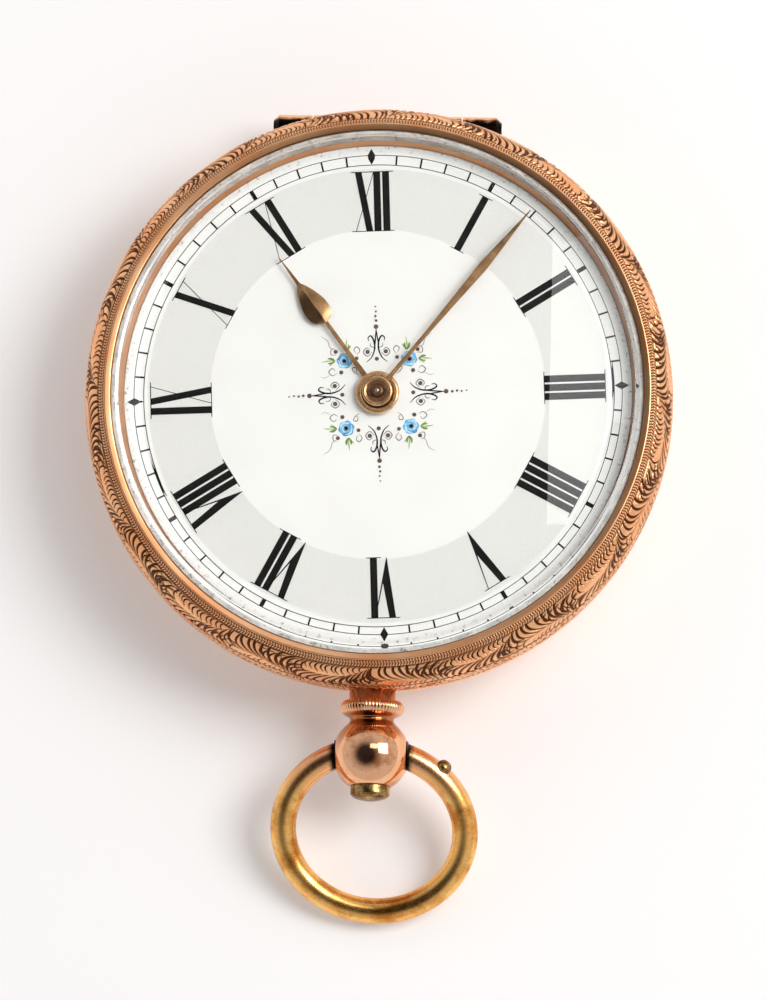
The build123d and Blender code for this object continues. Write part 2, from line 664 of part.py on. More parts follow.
def cuvette():
    plate = turned(
        [
            (0, CUVETTE_Z),
            (CUVETTE_FLAT_R, CUVETTE_Z),
            (SKIRT_R, BORDER_Z),
            (SKIRT_R, SKIRT_TOP),
            (SKIRT_IN_R, SKIRT_TOP),
            (SKIRT_IN_R, LIP_Z - LIP_LIFT / 2),
            (CUVETTE_FLAT_R, CUVETTE_Z + CUVETTE_WALL),
            (0, CUVETTE_Z + CUVETTE_WALL),
        ]
    )
    for at in (CENTRE, BARREL):
        plate -= disc(KEYHOLE_R, 0, PLATE_Z, at)
    notch = Box(CATCH_NOTCH_W, 4 * LEDGE_W, PLATE_Z, align=(Align.CENTER, Align.CENTER, Align.MIN))
    plate -= Pos(0, -SKIRT_R, SPRING_Z - LOOSE) * notch
    half = CUVETTE_KNUCKLE_W / 2
    foot_z = SKIRT_TOP - JOINT_WEB_T / 2
    plate += joint_web(SKIRT_IN_R, foot_z, -half, half) + knuckle(-half, half)
    return plate - joint_bore()


def joint_pin():
    return rod_x(JOINT_PIN_R, -JOINT_HALF, JOINT_HALF, JOINT_Y, JOINT_Z)


# ------------------------------------------------------------------ pendant, button and bow
def pendant():
    neck_y = -CASE_R
    collar_y = neck_y - NECK_L
    waist_y = collar_y - COLLAR_L
    body = rod_y(NECK_R, collar_y, neck_y + NECK_ROOT, 0, PENDANT_Z)
    body += rod_y(COLLAR_R, waist_y, collar_y, 0, PENDANT_Z)
    body += rod_y(WAIST_R, BALL_Y, waist_y, 0, PENDANT_Z)
    ball = Pos(0, BALL_Y, PENDANT_Z) * Rot(90, 0, 0) * Rot(0, 0, 90) * Sphere(BALL_R)
    ball -= Pos(0, BALL_MOUTH_Y, PENDANT_Z) * Box(
        2 * BALL_R, BALL_R, 2 * BALL_R, align=(Align.CENTER, Align.MAX, Align.CENTER)
    )
    body += ball
    # the foot of the neck is shaped to the band it is soldered to
    body -= disc(CASE_R, BAND_Z, BAND_TOP)
    body -= disc(CASE_R - BAND_BEVEL + LOOSE, -1, BAND_Z + LOOSE)
    # bore for the stem, counterbore for the button's head, dimples for the bow's ends
    body -= rod_y(STEM_R + RUNNING, BALL_MOUTH_Y, -BORE_R, 0, PENDANT_Z)
    well = BALL_MOUTH_Y + 1.6 * PUSH_TRAVEL
    body -= rod_y(PUSH_R + RUNNING, BALL_MOUTH_Y - BALL_R, well, 0, PENDANT_Z)
    for side in (-1, 1):
        x0, x1 = sorted((side * (BALL_R - BOW_NIB_L), side * 2 * BALL_R))
        body -= rod_x(BOW_NIB_R + RUNNING, x0, x1, BALL_Y, PENDANT_Z)
    return body


def push_button():
    tip = BALL_MOUTH_Y - PUSH_OUT
    head_end = BALL_MOUTH_Y + PUSH_TRAVEL / 2
    rise = PUSH_OUT - PUSH_TRAVEL
    cap_r = (PUSH_R ** 2 + rise ** 2) / (2 * rise)
    head = rod_y(PUSH_R, BALL_MOUTH_Y - PUSH_TRAVEL, head_end, 0, PENDANT_Z)
    crown = Pos(0, tip + cap_r, PENDANT_Z) * Rot(90, 0, 0) * Sphere(cap_r)
    crown &= rod_y(PUSH_R, tip - PUSH_OUT, BALL_MOUTH_Y - PUSH_TRAVEL, 0, PENDANT_Z)
    stem = rod_y(STEM_R, BALL_MOUTH_Y, -(SPRING_R + SPRING_T) - RUNNING / 2, 0, PENDANT_Z)
    return head + crown + stem


def bow():
    """Lies in the plane of the pendant, then is turned down until it rests on the table."""
    end = degrees(acos(BOW_END_X / BOW_HALF_W)) + BOW_SPARE
    oval = EllipticalCenterArc(
        (0, BALL_Y - BOW_CENTRE), BOW_HALF_W, BOW_HALF_L, start_angle=end, arc_size=-180 - 2 * end
    )
    section = Plane(origin=oval @ 0, z_dir=oval % 0) * RegularPolygon(BOW_WIRE_R, BOW_SIDES)
    wire = sweep(section, path=oval)
    # flat ends beside the ball, with a nib each that turns in its dimple
    wire -= Pos(0, BALL_Y, 0) * Box(2 * BOW_END_X, BOW_HALF_L, BOW_HALF_L)
    for side in (-1, 1):
        x0, x1 = sorted((side * (BALL_R - BOW_NIB_L + BOW_GAP), side * (BOW_END_X + BOW_NIB_ROOT)))
        wire += rod_x(BOW_NIB_R, x0, x1, BALL_Y, 0)
    return bow_laid(wire)


def bow_laid(shape):
    """From flat in the pendant's plane at Z = 0 to how the bow hangs down."""
    return Pos(*BOW_PIVOT) * Rot(BOW_DROOP, 0, 0) * Pos(0, -BALL_Y, 0) * shape


def bow_stud():
    """The rivet head near the right end of the bow."""
    angle = radians(BOW_STUD_BEARING)
    x = BOW_HALF_W * sin(angle)
    y = BALL_Y - BOW_CENTRE + BOW_HALF_L * cos(angle)
    high = BOW_WIRE_R + BOW_STUD_H
    return bow_laid(pin(BOW_STUD_R, BOW_WIRE_R * cos(pi / BOW_SIDES), high, (x, y)))


def lock_spring():
    outer = SPRING_R + SPRING_T
    eye = SPRING_EYE
    leaf = tube(outer, SPRING_R, SPRING_Z, SPRING_TOP)
    left = -CATCH_W / 2
    inside = -SPRING_R + 2 * SPRING_T
    outside = -outer - SPRING_T
    keep = slab(
        [(left, inside), (left, outside), (eye[0], outside), (eye[0], eye[1] + SPRING_EYE_R)],
        SPRING_Z,
        SPRING_TOP,
    )
    leaf &= keep
    reach = COVER_EDGE_R - COVER_WALL - CATCH_GAP
    nose = Pos(0, -reach, SPRING_Z) * Box(
        CATCH_W, reach - SPRING_R - LOOSE, CATCH_T, align=(Align.CENTER, Align.MIN, Align.MIN)
    )
    ring = disc(SPRING_EYE_R, SPRING_Z, SPRING_TOP, eye)
    return leaf + nose + ring - pin_hole(SPRING_SCREW_R + RUNNING, 0, PLATE_TOP, eye)


def lock_spring_screw():
    head_z = SPRING_TOP + RUNNING
    head = pin(2 * SPRING_SCREW_R, head_z, head_z + SPRING_SCREW_HEAD_T, SPRING_EYE)
    return pin(SPRING_SCREW_R, LIP_Z, head_z, SPRING_EYE) + head


# ------------------------------------------------------------------ dial and hands
def dial():
    return tube(DIAL_R, DIAL_HOLE_R, DIAL_Z, DIAL_TOP)


def dial_feet():
    return [pin(DIAL_FOOT_R, PLATE_TOP - DIAL_FOOT_DEPTH, DIAL_Z, polar(foot)) for foot in DIAL_FEET]


def clockwise(shape, angle):
    """Turns a hand that points to 12 to its place on the dial."""
    return Rot(0, 0, DIAL_TURN - angle) * shape


def hour_hand():
    neck = HOUR_NECK_W / 2
    leaf_low, leaf_widest, leaf_high = (share * HOUR_HAND_L for share in HOUR_LEAF_SHARES)
    outline = Polyline((-neck, leaf_low, 0), (-neck, 0, 0), (neck, 0, 0), (neck, leaf_low, 0))
    for side in (1, -1):
        arc = ThreePointArc(
            (side * neck, leaf_low, 0), (side * HOUR_LEAF_W / 2, leaf_widest, 0), (side * neck, leaf_high, 0)
        )
        outline += arc + Line((side * neck, leaf_high, 0), (0, HOUR_HAND_L, 0))
    leaf = extrude(make_face(outline), amount=HAND_T)
    hand = Pos(0, 0, HOUR_HAND_Z) * leaf + disc(HOUR_BOSS_R, HOUR_HAND_Z, HOUR_HAND_Z + HAND_T)
    return clockwise(hand, HOUR_ANGLE) - disc(HOUR_PIPE_R, DIAL_Z, GLASS_Z)


def minute_hand():
    neck = MINUTE_NECK_W / 2
    half = MINUTE_LEAF_W / 2
    start, widest = (share * MINUTE_HAND_L for share in MINUTE_LEAF_SHARES)
    right = [(neck, 0), (neck, start), (half, widest)]
    left = [(-x, y) for x, y in right[::-1]]
    blade = slab(right + [(0, MINUTE_HAND_L)] + left, MINUTE_HAND_Z, HANDS_TOP)
    hand = blade + disc(MINUTE_BOSS_R, MINUTE_HAND_Z, HANDS_TOP)
    return clockwise(hand, MINUTE_ANGLE) - pin_hole(CANNON_R, DIAL_Z, GLASS_Z)


def cannon_pinion():
    phase = mesh_phase(MINUTE_BEARING, MOTION_LEAVES, True)
    leaves = toothed(MOTION_LEAVES, CANNON_PITCH_R, MOTION_Z, MOTION_Z + MOTION_LEAF_T, CENTRE, phase)
    pipe = pin(CANNON_R, MOTION_Z, HANDS_TOP)
    return leaves + pipe - pin_hole(CANNON_BORE_R, 0, GLASS_Z)


def minute_wheel():
    """Wheel and pinion that step the minutes down to the hours, turning on a post."""
    back = MINUTE_BEARING + 180
    low = MOTION_Z + RUNNING
    wheel = toothed(
        MINUTE_TEETH, MINUTE_PITCH_R, low, low + WHEEL_T, MINUTE_POST, mesh_phase(back, MINUTE_TEETH, False)
    )
    pinion = toothed(
        MINUTE_LEAVES, MINUTE_PINION_R, low + WHEEL_T, HOUR_WHEEL_Z + WHEEL_T + END_SHAKE, MINUTE_POST,
        mesh_phase(back, MINUTE_LEAVES, True),
    )
    return wheel + pinion - disc(MINUTE_POST_R + RUNNING, 0, GLASS_Z, MINUTE_POST)


def hour_wheel():
    phase = mesh_phase(MINUTE_BEARING, HOUR_TEETH, False)
    wheel = toothed(HOUR_TEETH, HOUR_PITCH_R, HOUR_WHEEL_Z, HOUR_WHEEL_Z + WHEEL_T, CENTRE, phase)
    pipe = disc(HOUR_PIPE_R, HOUR_WHEEL_Z, HOUR_HAND_Z + HAND_T)
    return wheel + pipe - pin_hole(HOUR_PIPE_IN_R, 0, GLASS_Z)


def minute_post():
    return pin(MINUTE_POST_R, PLATE_TOP - POST_DEPTH, HOUR_WHEEL_Z + WHEEL_T + LOOSE, MINUTE_POST)


# ------------------------------------------------------------------ plates and bridges
BRIDGES = (
    ("centre_bridge", CENTRE, CENTRE_FOOT, CENTRE_ARBOR_R + RUNNING, 2.5 * CENTRE_ARBOR_R),
    ("third_bridge", THIRD, THIRD_FOOT, JEWEL_R, JEWEL_R / 0.6),
    ("fourth_bridge", FOURTH, FOURTH_FOOT, JEWEL_R, JEWEL_R / 0.6),
)


def foot_screw(at, low):
    """A cheese-head screw, its head on the back."""
    return pin(SCREW_HEAD_R, low - SCREW_HEAD_T, low, at) + pin(SCREW_R, low, PLATE_Z, at)


def mainplate():
    inner = PLATE_R - PLATE_RIM_W
    plate = turned(
        [
            (0, PLATE_Z),
            (PLATE_R, PLATE_Z),
            (PLATE_R, DIAL_Z),
            (inner, DIAL_Z),
            (inner, PLATE_TOP),
            (0, PLATE_TOP),
        ]
    )
    plate -= disc(CENTRE_ARBOR_R + RUNNING, 0, DIAL_Z)
    plate -= disc(BARREL_PIVOT_R + RUNNING, 0, DIAL_Z, BARREL)
    for at in (THIRD, FOURTH, ESCAPE, BALANCE):
        plate -= pin_hole(PIVOT_R + RUNNING, 0, DIAL_Z, at)
    for foot in DIAL_FEET:
        plate -= pin_hole(DIAL_FOOT_R, PLATE_TOP - DIAL_FOOT_DEPTH, DIAL_Z, polar(foot))
    for bearing in CASE_SCREWS:
        plate -= pin_hole(SCREW_R, 0, PLATE_Z + SCREW_DEPTH, polar((CASE_SCREW_STEP, bearing)))
    return plate - pin_hole(MINUTE_POST_R, PLATE_TOP - POST_DEPTH, DIAL_Z, MINUTE_POST)


def bridge(at, foot, hole_r, end_r):
    foot_at = polar(foot)
    piece = bar(at, foot_at, end_r, FOOT_R, BRIDGE_Z, BRIDGE_TOP)
    piece += disc(FOOT_R, BRIDGE_TOP, PLATE_Z, foot_at)
    piece -= pin_hole(SCREW_R, 0, PLATE_TOP, foot_at)
    return piece - pin_hole(hole_r, 0, PLATE_TOP, at)


def barrel_bridge():
    piece = None
    for foot in BARREL_FEET:
        foot_at = polar(foot)
        arm = bar(BARREL, foot_at, BARREL_END_R, FOOT_R, BRIDGE_Z, BRIDGE_TOP)
        arm += disc(FOOT_R, BRIDGE_TOP, PLATE_Z, foot_at)
        piece = arm if piece is None else piece + arm
    for foot in BARREL_FEET:
        piece -= pin_hole(SCREW_R, 0, PLATE_TOP, polar(foot))
    piece -= pin_hole(CLICK_SCREW_R, 0, PLATE_TOP, CLICK_AT)
    return piece - disc(WINDING_ARBOR_R + RUNNING, 0, PLATE_TOP, BARREL)


def escape_cock():
    foot_at = polar(ESCAPE_FOOT)
    piece = bar(ESCAPE, foot_at, ESCAPE_END_R, ESCAPE_FOOT_R, ESCAPE_COCK_Z, ESCAPE_COCK_TOP)
    piece += disc(ESCAPE_FOOT_R, ESCAPE_COCK_TOP, PLATE_Z, foot_at)
    piece -= pin_hole(SCREW_R, 0, PLATE_TOP, foot_at)
    return piece - pin_hole(ESCAPE_JEWEL_R, 0, PLATE_TOP, ESCAPE)


def balance_cock():
    foot_at = polar(BALANCE_FOOT)
    piece = bar(BALANCE, foot_at, COCK_FOOT_R, COCK_FOOT_R, MOVEMENT_Z, COCK_TOP)
    piece += disc(COCK_FOOT_R, COCK_TOP, PLATE_Z, foot_at)
    piece += pin(STUD_R, COCK_TOP, HAIRSPRING_Z + HAIRSPRING_T + END_SHAKE, STUD_AT)
    piece -= pin_hole(SCREW_R, 0, PLATE_TOP, foot_at)
    return piece - pin_hole(JEWEL_R, 0, PLATE_TOP, BALANCE)


def jewel(at, low, radius=JEWEL_R):
    stone = pin(radius, low, low + JEWEL_T, at)
    return stone - pin_hole(PIVOT_R + RUNNING, low, low + JEWEL_T, at)


def jewels():
    seats = [jewel(at, BRIDGE_TOP - JEWEL_T) for at in (THIRD, FOURTH)]
    seats.append(jewel(BALANCE, COCK_TOP - JEWEL_T))
    seats.append(jewel(ESCAPE, ESCAPE_COCK_Z, ESCAPE_JEWEL_R))
    return seats


def bridge_screws():
    screws = [foot_screw(polar(foot), BRIDGE_Z) for foot in BRIDGE_FEET[:5]]
    screws.append(foot_screw(polar(ESCAPE_FOOT), ESCAPE_COCK_Z))
    screws.append(foot_screw(polar(BALANCE_FOOT), MOVEMENT_Z))
    return screws


def case_screws():
    screws = []
    for bearing in CASE_SCREWS:
        at = polar((CASE_SCREW_STEP, bearing))
        low = CASE_SCREW_Z + SCREW_HEAD_T
        head = pin(CASE_SCREW_HEAD_R, CASE_SCREW_Z, low, at)
        screws.append(head + pin(SCREW_R, low, PLATE_Z + SCREW_DEPTH, at))
    return screws


# ------------------------------------------------------------------ going train
def barrel():
    """Drum with the great wheel round its rim, open on the mainplate's side."""
    phase = mesh_phase(BARREL_BEARING + 180, BARREL_TEETH, True)
    wheel = toothed(BARREL_TEETH, BARREL_PITCH_R, GREAT_Z, BARREL_Z, BARREL, phase)
    drum = tube(BARREL_R, BARREL_R - BARREL_WALL, BARREL_Z, BARREL_TOP, BARREL)
    return wheel + drum - disc(WINDING_ARBOR_R + RUNNING, 0, PLATE_Z, BARREL)


def barrel_lid():
    lid_r = BARREL_R - BARREL_WALL
    return tube(lid_r, BARREL_PIVOT_R + RUNNING, BARREL_TOP - BARREL_LID_T, BARREL_TOP, BARREL)


def spiral(at, inner, outer, turns, width, low, high, steps):
    """A flat coil of strip, as one closed band that follows a spiral."""
    path = []
    for n in range(turns * steps + 1):
        share = n / (turns * steps)
        path.append((inner + (outer - inner) * share, 2 * pi * turns * share))
    edge = [(at[0] + (r + width / 2) * cos(a), at[1] + (r + width / 2) * sin(a)) for r, a in path]
    back = [(at[0] + (r - width / 2) * cos(a), at[1] + (r - width / 2) * sin(a)) for r, a in path]
    return slab(edge + back[::-1], low, high)


def mainspring():
    low = BARREL_Z + LOOSE
    high = BARREL_TOP - BARREL_LID_T - LOOSE
    inner = WINDING_ARBOR_R + MAINSPRING_W / 2 + RUNNING
    outer = BARREL_R - BARREL_WALL - MAINSPRING_W * 0.6
    return spiral(BARREL, inner, outer, MAINSPRING_TURNS, MAINSPRING_W, low, high, SPIRAL_STEPS)


def winding_arbor():
    """Arbor of the mainspring, with the square that the key fits."""
    top = BARREL_TOP - BARREL_LID_T - LOOSE
    arbor = disc(WINDING_ARBOR_R, RATCHET_Z, top, BARREL)
    arbor += pin(BARREL_PIVOT_R, top, PIVOT_TOP, BARREL)
    return arbor + square_rod(SQUARE_W, SQUARE_Z, RATCHET_Z, BARREL)


def ratchet_wheel():
    wheel = toothed(RATCHET_TEETH, RATCHET_R, RATCHET_Z, RATCHET_Z + RATCHET_T, BARREL)
    return wheel - disc(WINDING_ARBOR_R, 0, PLATE_Z, BARREL)


def click():
    piece = bar(CLICK_AT, CLICK_TIP, CLICK_R, CLICK_TIP_R, RATCHET_Z, RATCHET_Z + RATCHET_T)
    return piece - pin_hole(CLICK_SCREW_R + RUNNING, 0, PLATE_Z, CLICK_AT)


def click_screw():
    low = RATCHET_Z - RUNNING / 2
    head = pin(CLICK_HEAD_R, low - CLICK_HEAD_T, low, CLICK_AT)
    return pin(CLICK_SCREW_R, low, BRIDGE_TOP, CLICK_AT) + head


def click_spring():
    root = from_here(BARREL, CLICK_STEP + CLICK_SPRING_L, CLICK_BEARING)
    tip = from_here(CLICK_AT, CLICK_R + CLICK_SPRING_TIP_R + RUNNING, CLICK_BEARING - 75)
    return bar(root, tip, CLICK_SPRING_R, CLICK_SPRING_TIP_R, BRIDGE_Z - CLICK_SPRING_T, BRIDGE_Z)


def centre_wheel():
    module = 2 * CENTRE_PITCH_R / CENTRE_TEETH
    rim_in = CENTRE_PITCH_R - DEDENDUM * module - RIM_W
    phase = mesh_phase(THIRD_BEARING, CENTRE_TEETH, True)
    wheel = toothed(CENTRE_TEETH, CENTRE_PITCH_R, CENTRE_Z, CENTRE_Z + WHEEL_T, CENTRE, phase)
    wheel -= crossing(rim_in, CENTRE_HUB_R, ARM_W, CENTRE_Z, CENTRE_Z + WHEEL_T, CENTRE, phase)
    pinion = toothed(
        CENTRE_LEAVES, CENTRE_PINION_R, GREAT_Z - END_SHAKE, GREAT_Z + PINION_T, CENTRE,
        mesh_phase(BARREL_BEARING, CENTRE_LEAVES, False),
    )
    arbor = pin(CENTRE_ARBOR_R, BRIDGE_Z, PLATE_TOP)
    return wheel + pinion + arbor - pin_hole(CANNON_BORE_R, 0, GLASS_Z)


def setting_arbor():
    """Friction-tight in the hollow centre arbor: square at the back, hands at the front."""
    rod = pin(SETTING_ARBOR_R, BRIDGE_Z - LOOSE, HANDS_TOP + ARBOR_TIP)
    return rod + square_rod(SQUARE_W, SQUARE_Z, BRIDGE_Z - LOOSE)


def arbor_r(leaf_r, leaves):
    """An arbor stays inside the roots of its own leaves."""
    return min(ARBOR_R, 0.9 * (leaf_r - DEDENDUM * 2 * leaf_r / leaves))


def third_wheel():
    return train_wheel(
        THIRD_TEETH, THIRD_PITCH_R, THIRD_Z, THIRD_LEAVES, THIRD_PINION_R, CENTRE_Z - LOOSE, THIRD,
        mesh_phase(FOURTH_BEARING, THIRD_TEETH, True),
        mesh_phase(THIRD_BEARING + 180, THIRD_LEAVES, False), ARBOR_HIGH, ARBOR_LOW,
    )


def fourth_wheel():
    return train_wheel(
        FOURTH_TEETH, FOURTH_PITCH_R, FOURTH_Z, FOURTH_LEAVES, FOURTH_PINION_R, THIRD_Z - LOOSE, FOURTH,
        mesh_phase(ESCAPE_BEARING, FOURTH_TEETH, True),
        mesh_phase(FOURTH_BEARING + 180, FOURTH_LEAVES, False), ARBOR_HIGH, ARBOR_LOW,
    )


def escape_wheel():
    """Fifteen blunt teeth, as a cylinder escapement has, on a light wheel."""
    wheel = toothed(ESCAPE_TEETH, ESCAPE_R - ESCAPE_TOOTH_H, ESCAPE_Z, ESCAPE_Z + WHEEL_T, ESCAPE)
    wheel &= disc(ESCAPE_R, ESCAPE_Z, ESCAPE_Z + WHEEL_T, ESCAPE)
    low = ESCAPE_COCK_TOP + END_SHAKE
    pinion = toothed(
        ESCAPE_LEAVES, ESCAPE_PINION_R, FOURTH_Z - LOOSE, FOURTH_Z - LOOSE + PINION_T, ESCAPE,
        mesh_phase(ESCAPE_BEARING + 180, ESCAPE_LEAVES, False),
    )
    arbor = pin(arbor_r(ESCAPE_PINION_R, ESCAPE_LEAVES), low, ARBOR_HIGH, ESCAPE)
    pivots = pin(PIVOT_R, low - JEWEL_T, PIVOT_TOP, ESCAPE)
    return wheel + pinion + arbor + pivots


def balance():
    """Plain three-armed balance on its cylinder staff."""
    inner = BALANCE_R - BALANCE_RIM_W
    high = BALANCE_Z + BALANCE_T
    wheel = disc(BALANCE_R, BALANCE_Z, high, BALANCE)
    wheel -= crossing(inner, BALANCE_HUB_R, BALANCE_ARM_W, BALANCE_Z, high, BALANCE, 40, 3)
    staff = pin(STAFF_R, COCK_TOP + END_SHAKE, ARBOR_HIGH, BALANCE)
    pivots = pin(PIVOT_R, COCK_TOP - JEWEL_T, PIVOT_TOP, BALANCE)
    return wheel + staff + pivots


def hairspring():
    start = STAFF_R + HAIRSPRING_W
    high = HAIRSPRING_Z + HAIRSPRING_T
    coil = spiral(
        CENTRE, start, HAIRSPRING_R, HAIRSPRING_TURNS, HAIRSPRING_W, HAIRSPRING_Z, high, SPIRAL_STEPS
    )
    collet = pin(start + LOOSE, HAIRSPRING_Z, high) - pin_hole(STAFF_R, HAIRSPRING_Z, high)
    return Pos(BALANCE[0], BALANCE[1], 0) * Rot(0, 0, BALANCE_FOOT[1]) * (coil + collet)


def regulator():
    """Index lever that turns on the cap over the balance jewel."""
    high = MOVEMENT_Z - RUNNING / 2
    tail = from_here(BALANCE, REGULATOR_L, BALANCE_FOOT[1] + REGULATOR_BEARING)
    lever = bar(BALANCE, tail, REGULATOR_R, REGULATOR_TIP_R, high - REGULATOR_T, high)
    return lever - pin_hole(CAP_R + RUNNING, 0, PLATE_Z, BALANCE)


def cock_cap():
    return pin(CAP_R, MOVEMENT_Z - CAP_T, MOVEMENT_Z, BALANCE)


# ------------------------------------------------------------------ all sub-parts
write("case_middle", case_middle())
write("joint_pin", joint_pin())
write("bezel", bezel())
write("crystal", crystal())
write("back_cover", back_cover())
write("cuvette", cuvette())
write("pendant", pendant())
write("push_button", push_button())
write("bow", bow())
write("bow_stud", bow_stud())
write("lock_spring", lock_spring())
write("lock_spring_screw", lock_spring_screw())
write("dial", dial())
write("dial_feet", *dial_feet())
write("hour_hand", hour_hand())
write("minute_hand", minute_hand())
write("cannon_pinion", cannon_pinion())
write("minute_wheel", minute_wheel())
write("minute_post", minute_post())
write("hour_wheel", hour_wheel())
write("setting_arbor", setting_arbor())
write("mainplate", mainplate())
write("barrel_bridge", barrel_bridge())
for name, at, foot, hole_r, end_r in BRIDGES:
    write(name, bridge(at, foot, hole_r, end_r))
write("escape_cock", escape_cock())
write("balance_cock", balance_cock())
write("cock_cap", cock_cap())
write("jewels", *jewels())
write("bridge_screws", *bridge_screws())
write("case_screws", *case_screws())
write("barrel", barrel())
write("barrel_lid", barrel_lid())
write("mainspring", mainspring())
write("winding_arbor", winding_arbor())
write("ratchet_wheel", ratchet_wheel())
write("click", click())
write("click_screw", click_screw())
write("click_spring", click_spring())
write("centre_wheel", centre_wheel())
write("third_wheel", third_wheel())
write("fourth_wheel", fourth_wheel())
write("escape_wheel", escape_wheel())
write("balance", balance())
write("hairspring", hairspring())
write("regulator", regulator())
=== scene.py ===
"""Open face pocket watch: the looks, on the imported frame.

Lengths are in millimetres in this script, and are scaled to metres where a mesh is made.
The frame is the CAD's: the watch lies on its back, dial up, case joint on +Y, pendant on -Y.
"""

import json
from math import acos, asin, atan2, cos, hypot, pi, radians, sin, sqrt
from types import SimpleNamespace

import bpy
import numpy as np
from mathutils import Matrix, Vector

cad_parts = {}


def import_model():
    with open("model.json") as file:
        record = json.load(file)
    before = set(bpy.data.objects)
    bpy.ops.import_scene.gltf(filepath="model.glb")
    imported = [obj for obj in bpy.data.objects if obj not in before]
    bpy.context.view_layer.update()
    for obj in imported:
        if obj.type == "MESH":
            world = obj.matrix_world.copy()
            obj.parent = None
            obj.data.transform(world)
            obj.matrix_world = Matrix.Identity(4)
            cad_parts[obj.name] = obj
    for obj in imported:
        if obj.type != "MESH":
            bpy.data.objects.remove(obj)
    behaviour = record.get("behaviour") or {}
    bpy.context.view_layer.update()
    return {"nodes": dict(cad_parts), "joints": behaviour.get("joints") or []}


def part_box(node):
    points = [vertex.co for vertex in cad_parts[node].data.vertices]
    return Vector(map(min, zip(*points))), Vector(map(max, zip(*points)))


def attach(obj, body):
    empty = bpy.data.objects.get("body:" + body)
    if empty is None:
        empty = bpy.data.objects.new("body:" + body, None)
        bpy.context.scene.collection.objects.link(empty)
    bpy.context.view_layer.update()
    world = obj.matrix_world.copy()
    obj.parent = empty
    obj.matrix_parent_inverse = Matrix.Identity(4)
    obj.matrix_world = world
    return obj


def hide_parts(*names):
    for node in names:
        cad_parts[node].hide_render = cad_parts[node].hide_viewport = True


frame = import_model()
MM = 0.001
JOINTS = {joint["name"]: joint for joint in frame["joints"]}


def low(node):
    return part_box(node)[0] / MM


def high(node):
    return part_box(node)[1] / MM


# ---------- sizes taken from the frame
CASE_R = high("case_middle").x
BAND_TOP = low("bezel").z
BAND_LOW = high("back_cover").z + 0.05
GLASS_LOW = low("crystal").z
GLASS_TOP = high("crystal").z
GLASS_R = high("crystal").x
DIAL_LOW = low("dial").z
DIAL_TOP = high("dial").z
DIAL_R = high("dial").x
ARBOR_TIP = high("setting_arbor").z
PENDANT_Z = (low("pendant").z + high("pendant").z) / 2
BOW_PIVOT = Vector(JOINTS["bow_swing"]["pos_m"]) / MM
JOINT_Y = JOINTS["cuvette_hinge"]["pos_m"][1] / MM
BALL_R = high("pendant").x
BALL_Y = -BOW_PIVOT.y       # distances along the pendant run from the case's middle
NECK_IN_Y = -high("pendant").y
BUTTON_R = high("push_button").x - 0.01
BUTTON_TIP_Y = -low("push_button").y
BUTTON_IN_Y = -high("push_button").y
BUTTON_TRAVEL = JOINTS["push"]["range_m"][1] / MM

# ---------- case and crystal
GLASS_FLAT_R = 16.05        # inside the shallow bevel
GLASS_FACET_R = 17.58       # inside the steep facet at the crystal's edge
BEZEL_WALL_R = 17.92        # inner wall of the bezel under the crystal
CEMENT_IN_R = 17.56         # the old white cement that holds the crystal
RING_IN_R = GLASS_R + 0.03
RING_R = 18.66              # outside of the plain polished ring
RING_TOP = GLASS_LOW + 0.35
MILLED_R = 19.03            # outside of the milled border
MILLED_TEETH = 600
CUT_DEPTH = 0.12            # depth of the engraving
LINE_W = 0.03               # half width of the fine turned lines
SKIN = 0.09                 # the engraved skin stands this far outside the plain band
RING_STEPS = 3600           # points round the engraved surfaces
ROW_STEP = 0.036            # and from row to row of them
TURNING_RAYS = 72           # the engine turning of the back
TURNING_WAVE = 2.2
TURNING_IN_R = 3.4
TURNING_OUT_R = 16.6

# ---------- dial and hands
DIAL_TURN = 2.9             # the dial sits turned this much anticlockwise in the case
HOUR_ANGLE = 326.0          # both clockwise from 12
MINUTE_ANGLE = 41.4
NUMERALS = ("XII", "I", "II", "III", "IIII", "V", "VI", "VII", "VIII", "IX", "X", "XI")
NUMERAL_IN_R = 11.35
NUMERAL_H = 4.15
STEM_W = 0.48
HAIR_W = 0.05
LETTER_W = {"I": STEM_W, "V": 1.42, "X": 1.30}
ADVANCE = {"I": 0.61, "V": 1.20, "X": 1.25}
BAR_REACH = 0.27            # the serif lines run this far past the letters
TRACK_OUT_R = 16.52
TRACK_IN_R = 15.98
CHAPTER_IN_R = 11.45        # the greyer ring under the numerals
CHAPTER_OUT_R = 15.7
PRINT_T = 0.012             # paint stands this high above the enamel
PRINT_SUNK = 0.004          # and reaches this far into it
PIPE_R = 0.47               # the minute hand's hole, on the cannon pinion's pipe
DIAL_HOLE_R = 0.95

# ---------- pendant and bow
NECK_R = 1.58
NECK_L = 0.75
COLLAR_R = 2.18
COLLAR_L = 1.0
REEDS = 56
BORE_R = 0.46
MOUTH_R = 1.43
BUTTON_L = 1.5
STEM_R = 0.4
BOW_HALF_W = 6.2
BOW_GAP = 0.05
BOW_STUD_AT = 0.08          # the stud's place, as a share of the wire's length
BOW_SKEW = 0.38             # the wire has been pulled this much to the right

# ---------- colours
ROSE_LIGHT = (1.0, 0.56, 0.30)
ROSE_DARK = (0.93, 0.42, 0.19)
ROSE_DEEP = (0.97, 0.50, 0.25)
# dark brown: tarnish in the engraved cuts, and painted shade against the crystal
ROSE_TARNISH_AND_SHADE = (0.07, 0.018, 0.006)
ROSE_SHADE = (0.42, 0.15, 0.06)
# near black for the bow's ends where they meet the ball
BALL_GAP_DARK = (0.012, 0.006, 0.004)
# painted shade for the gap between the joint's knuckles and the band
JOINT_PAINTED_SHADE = (0.012, 0.006, 0.005)

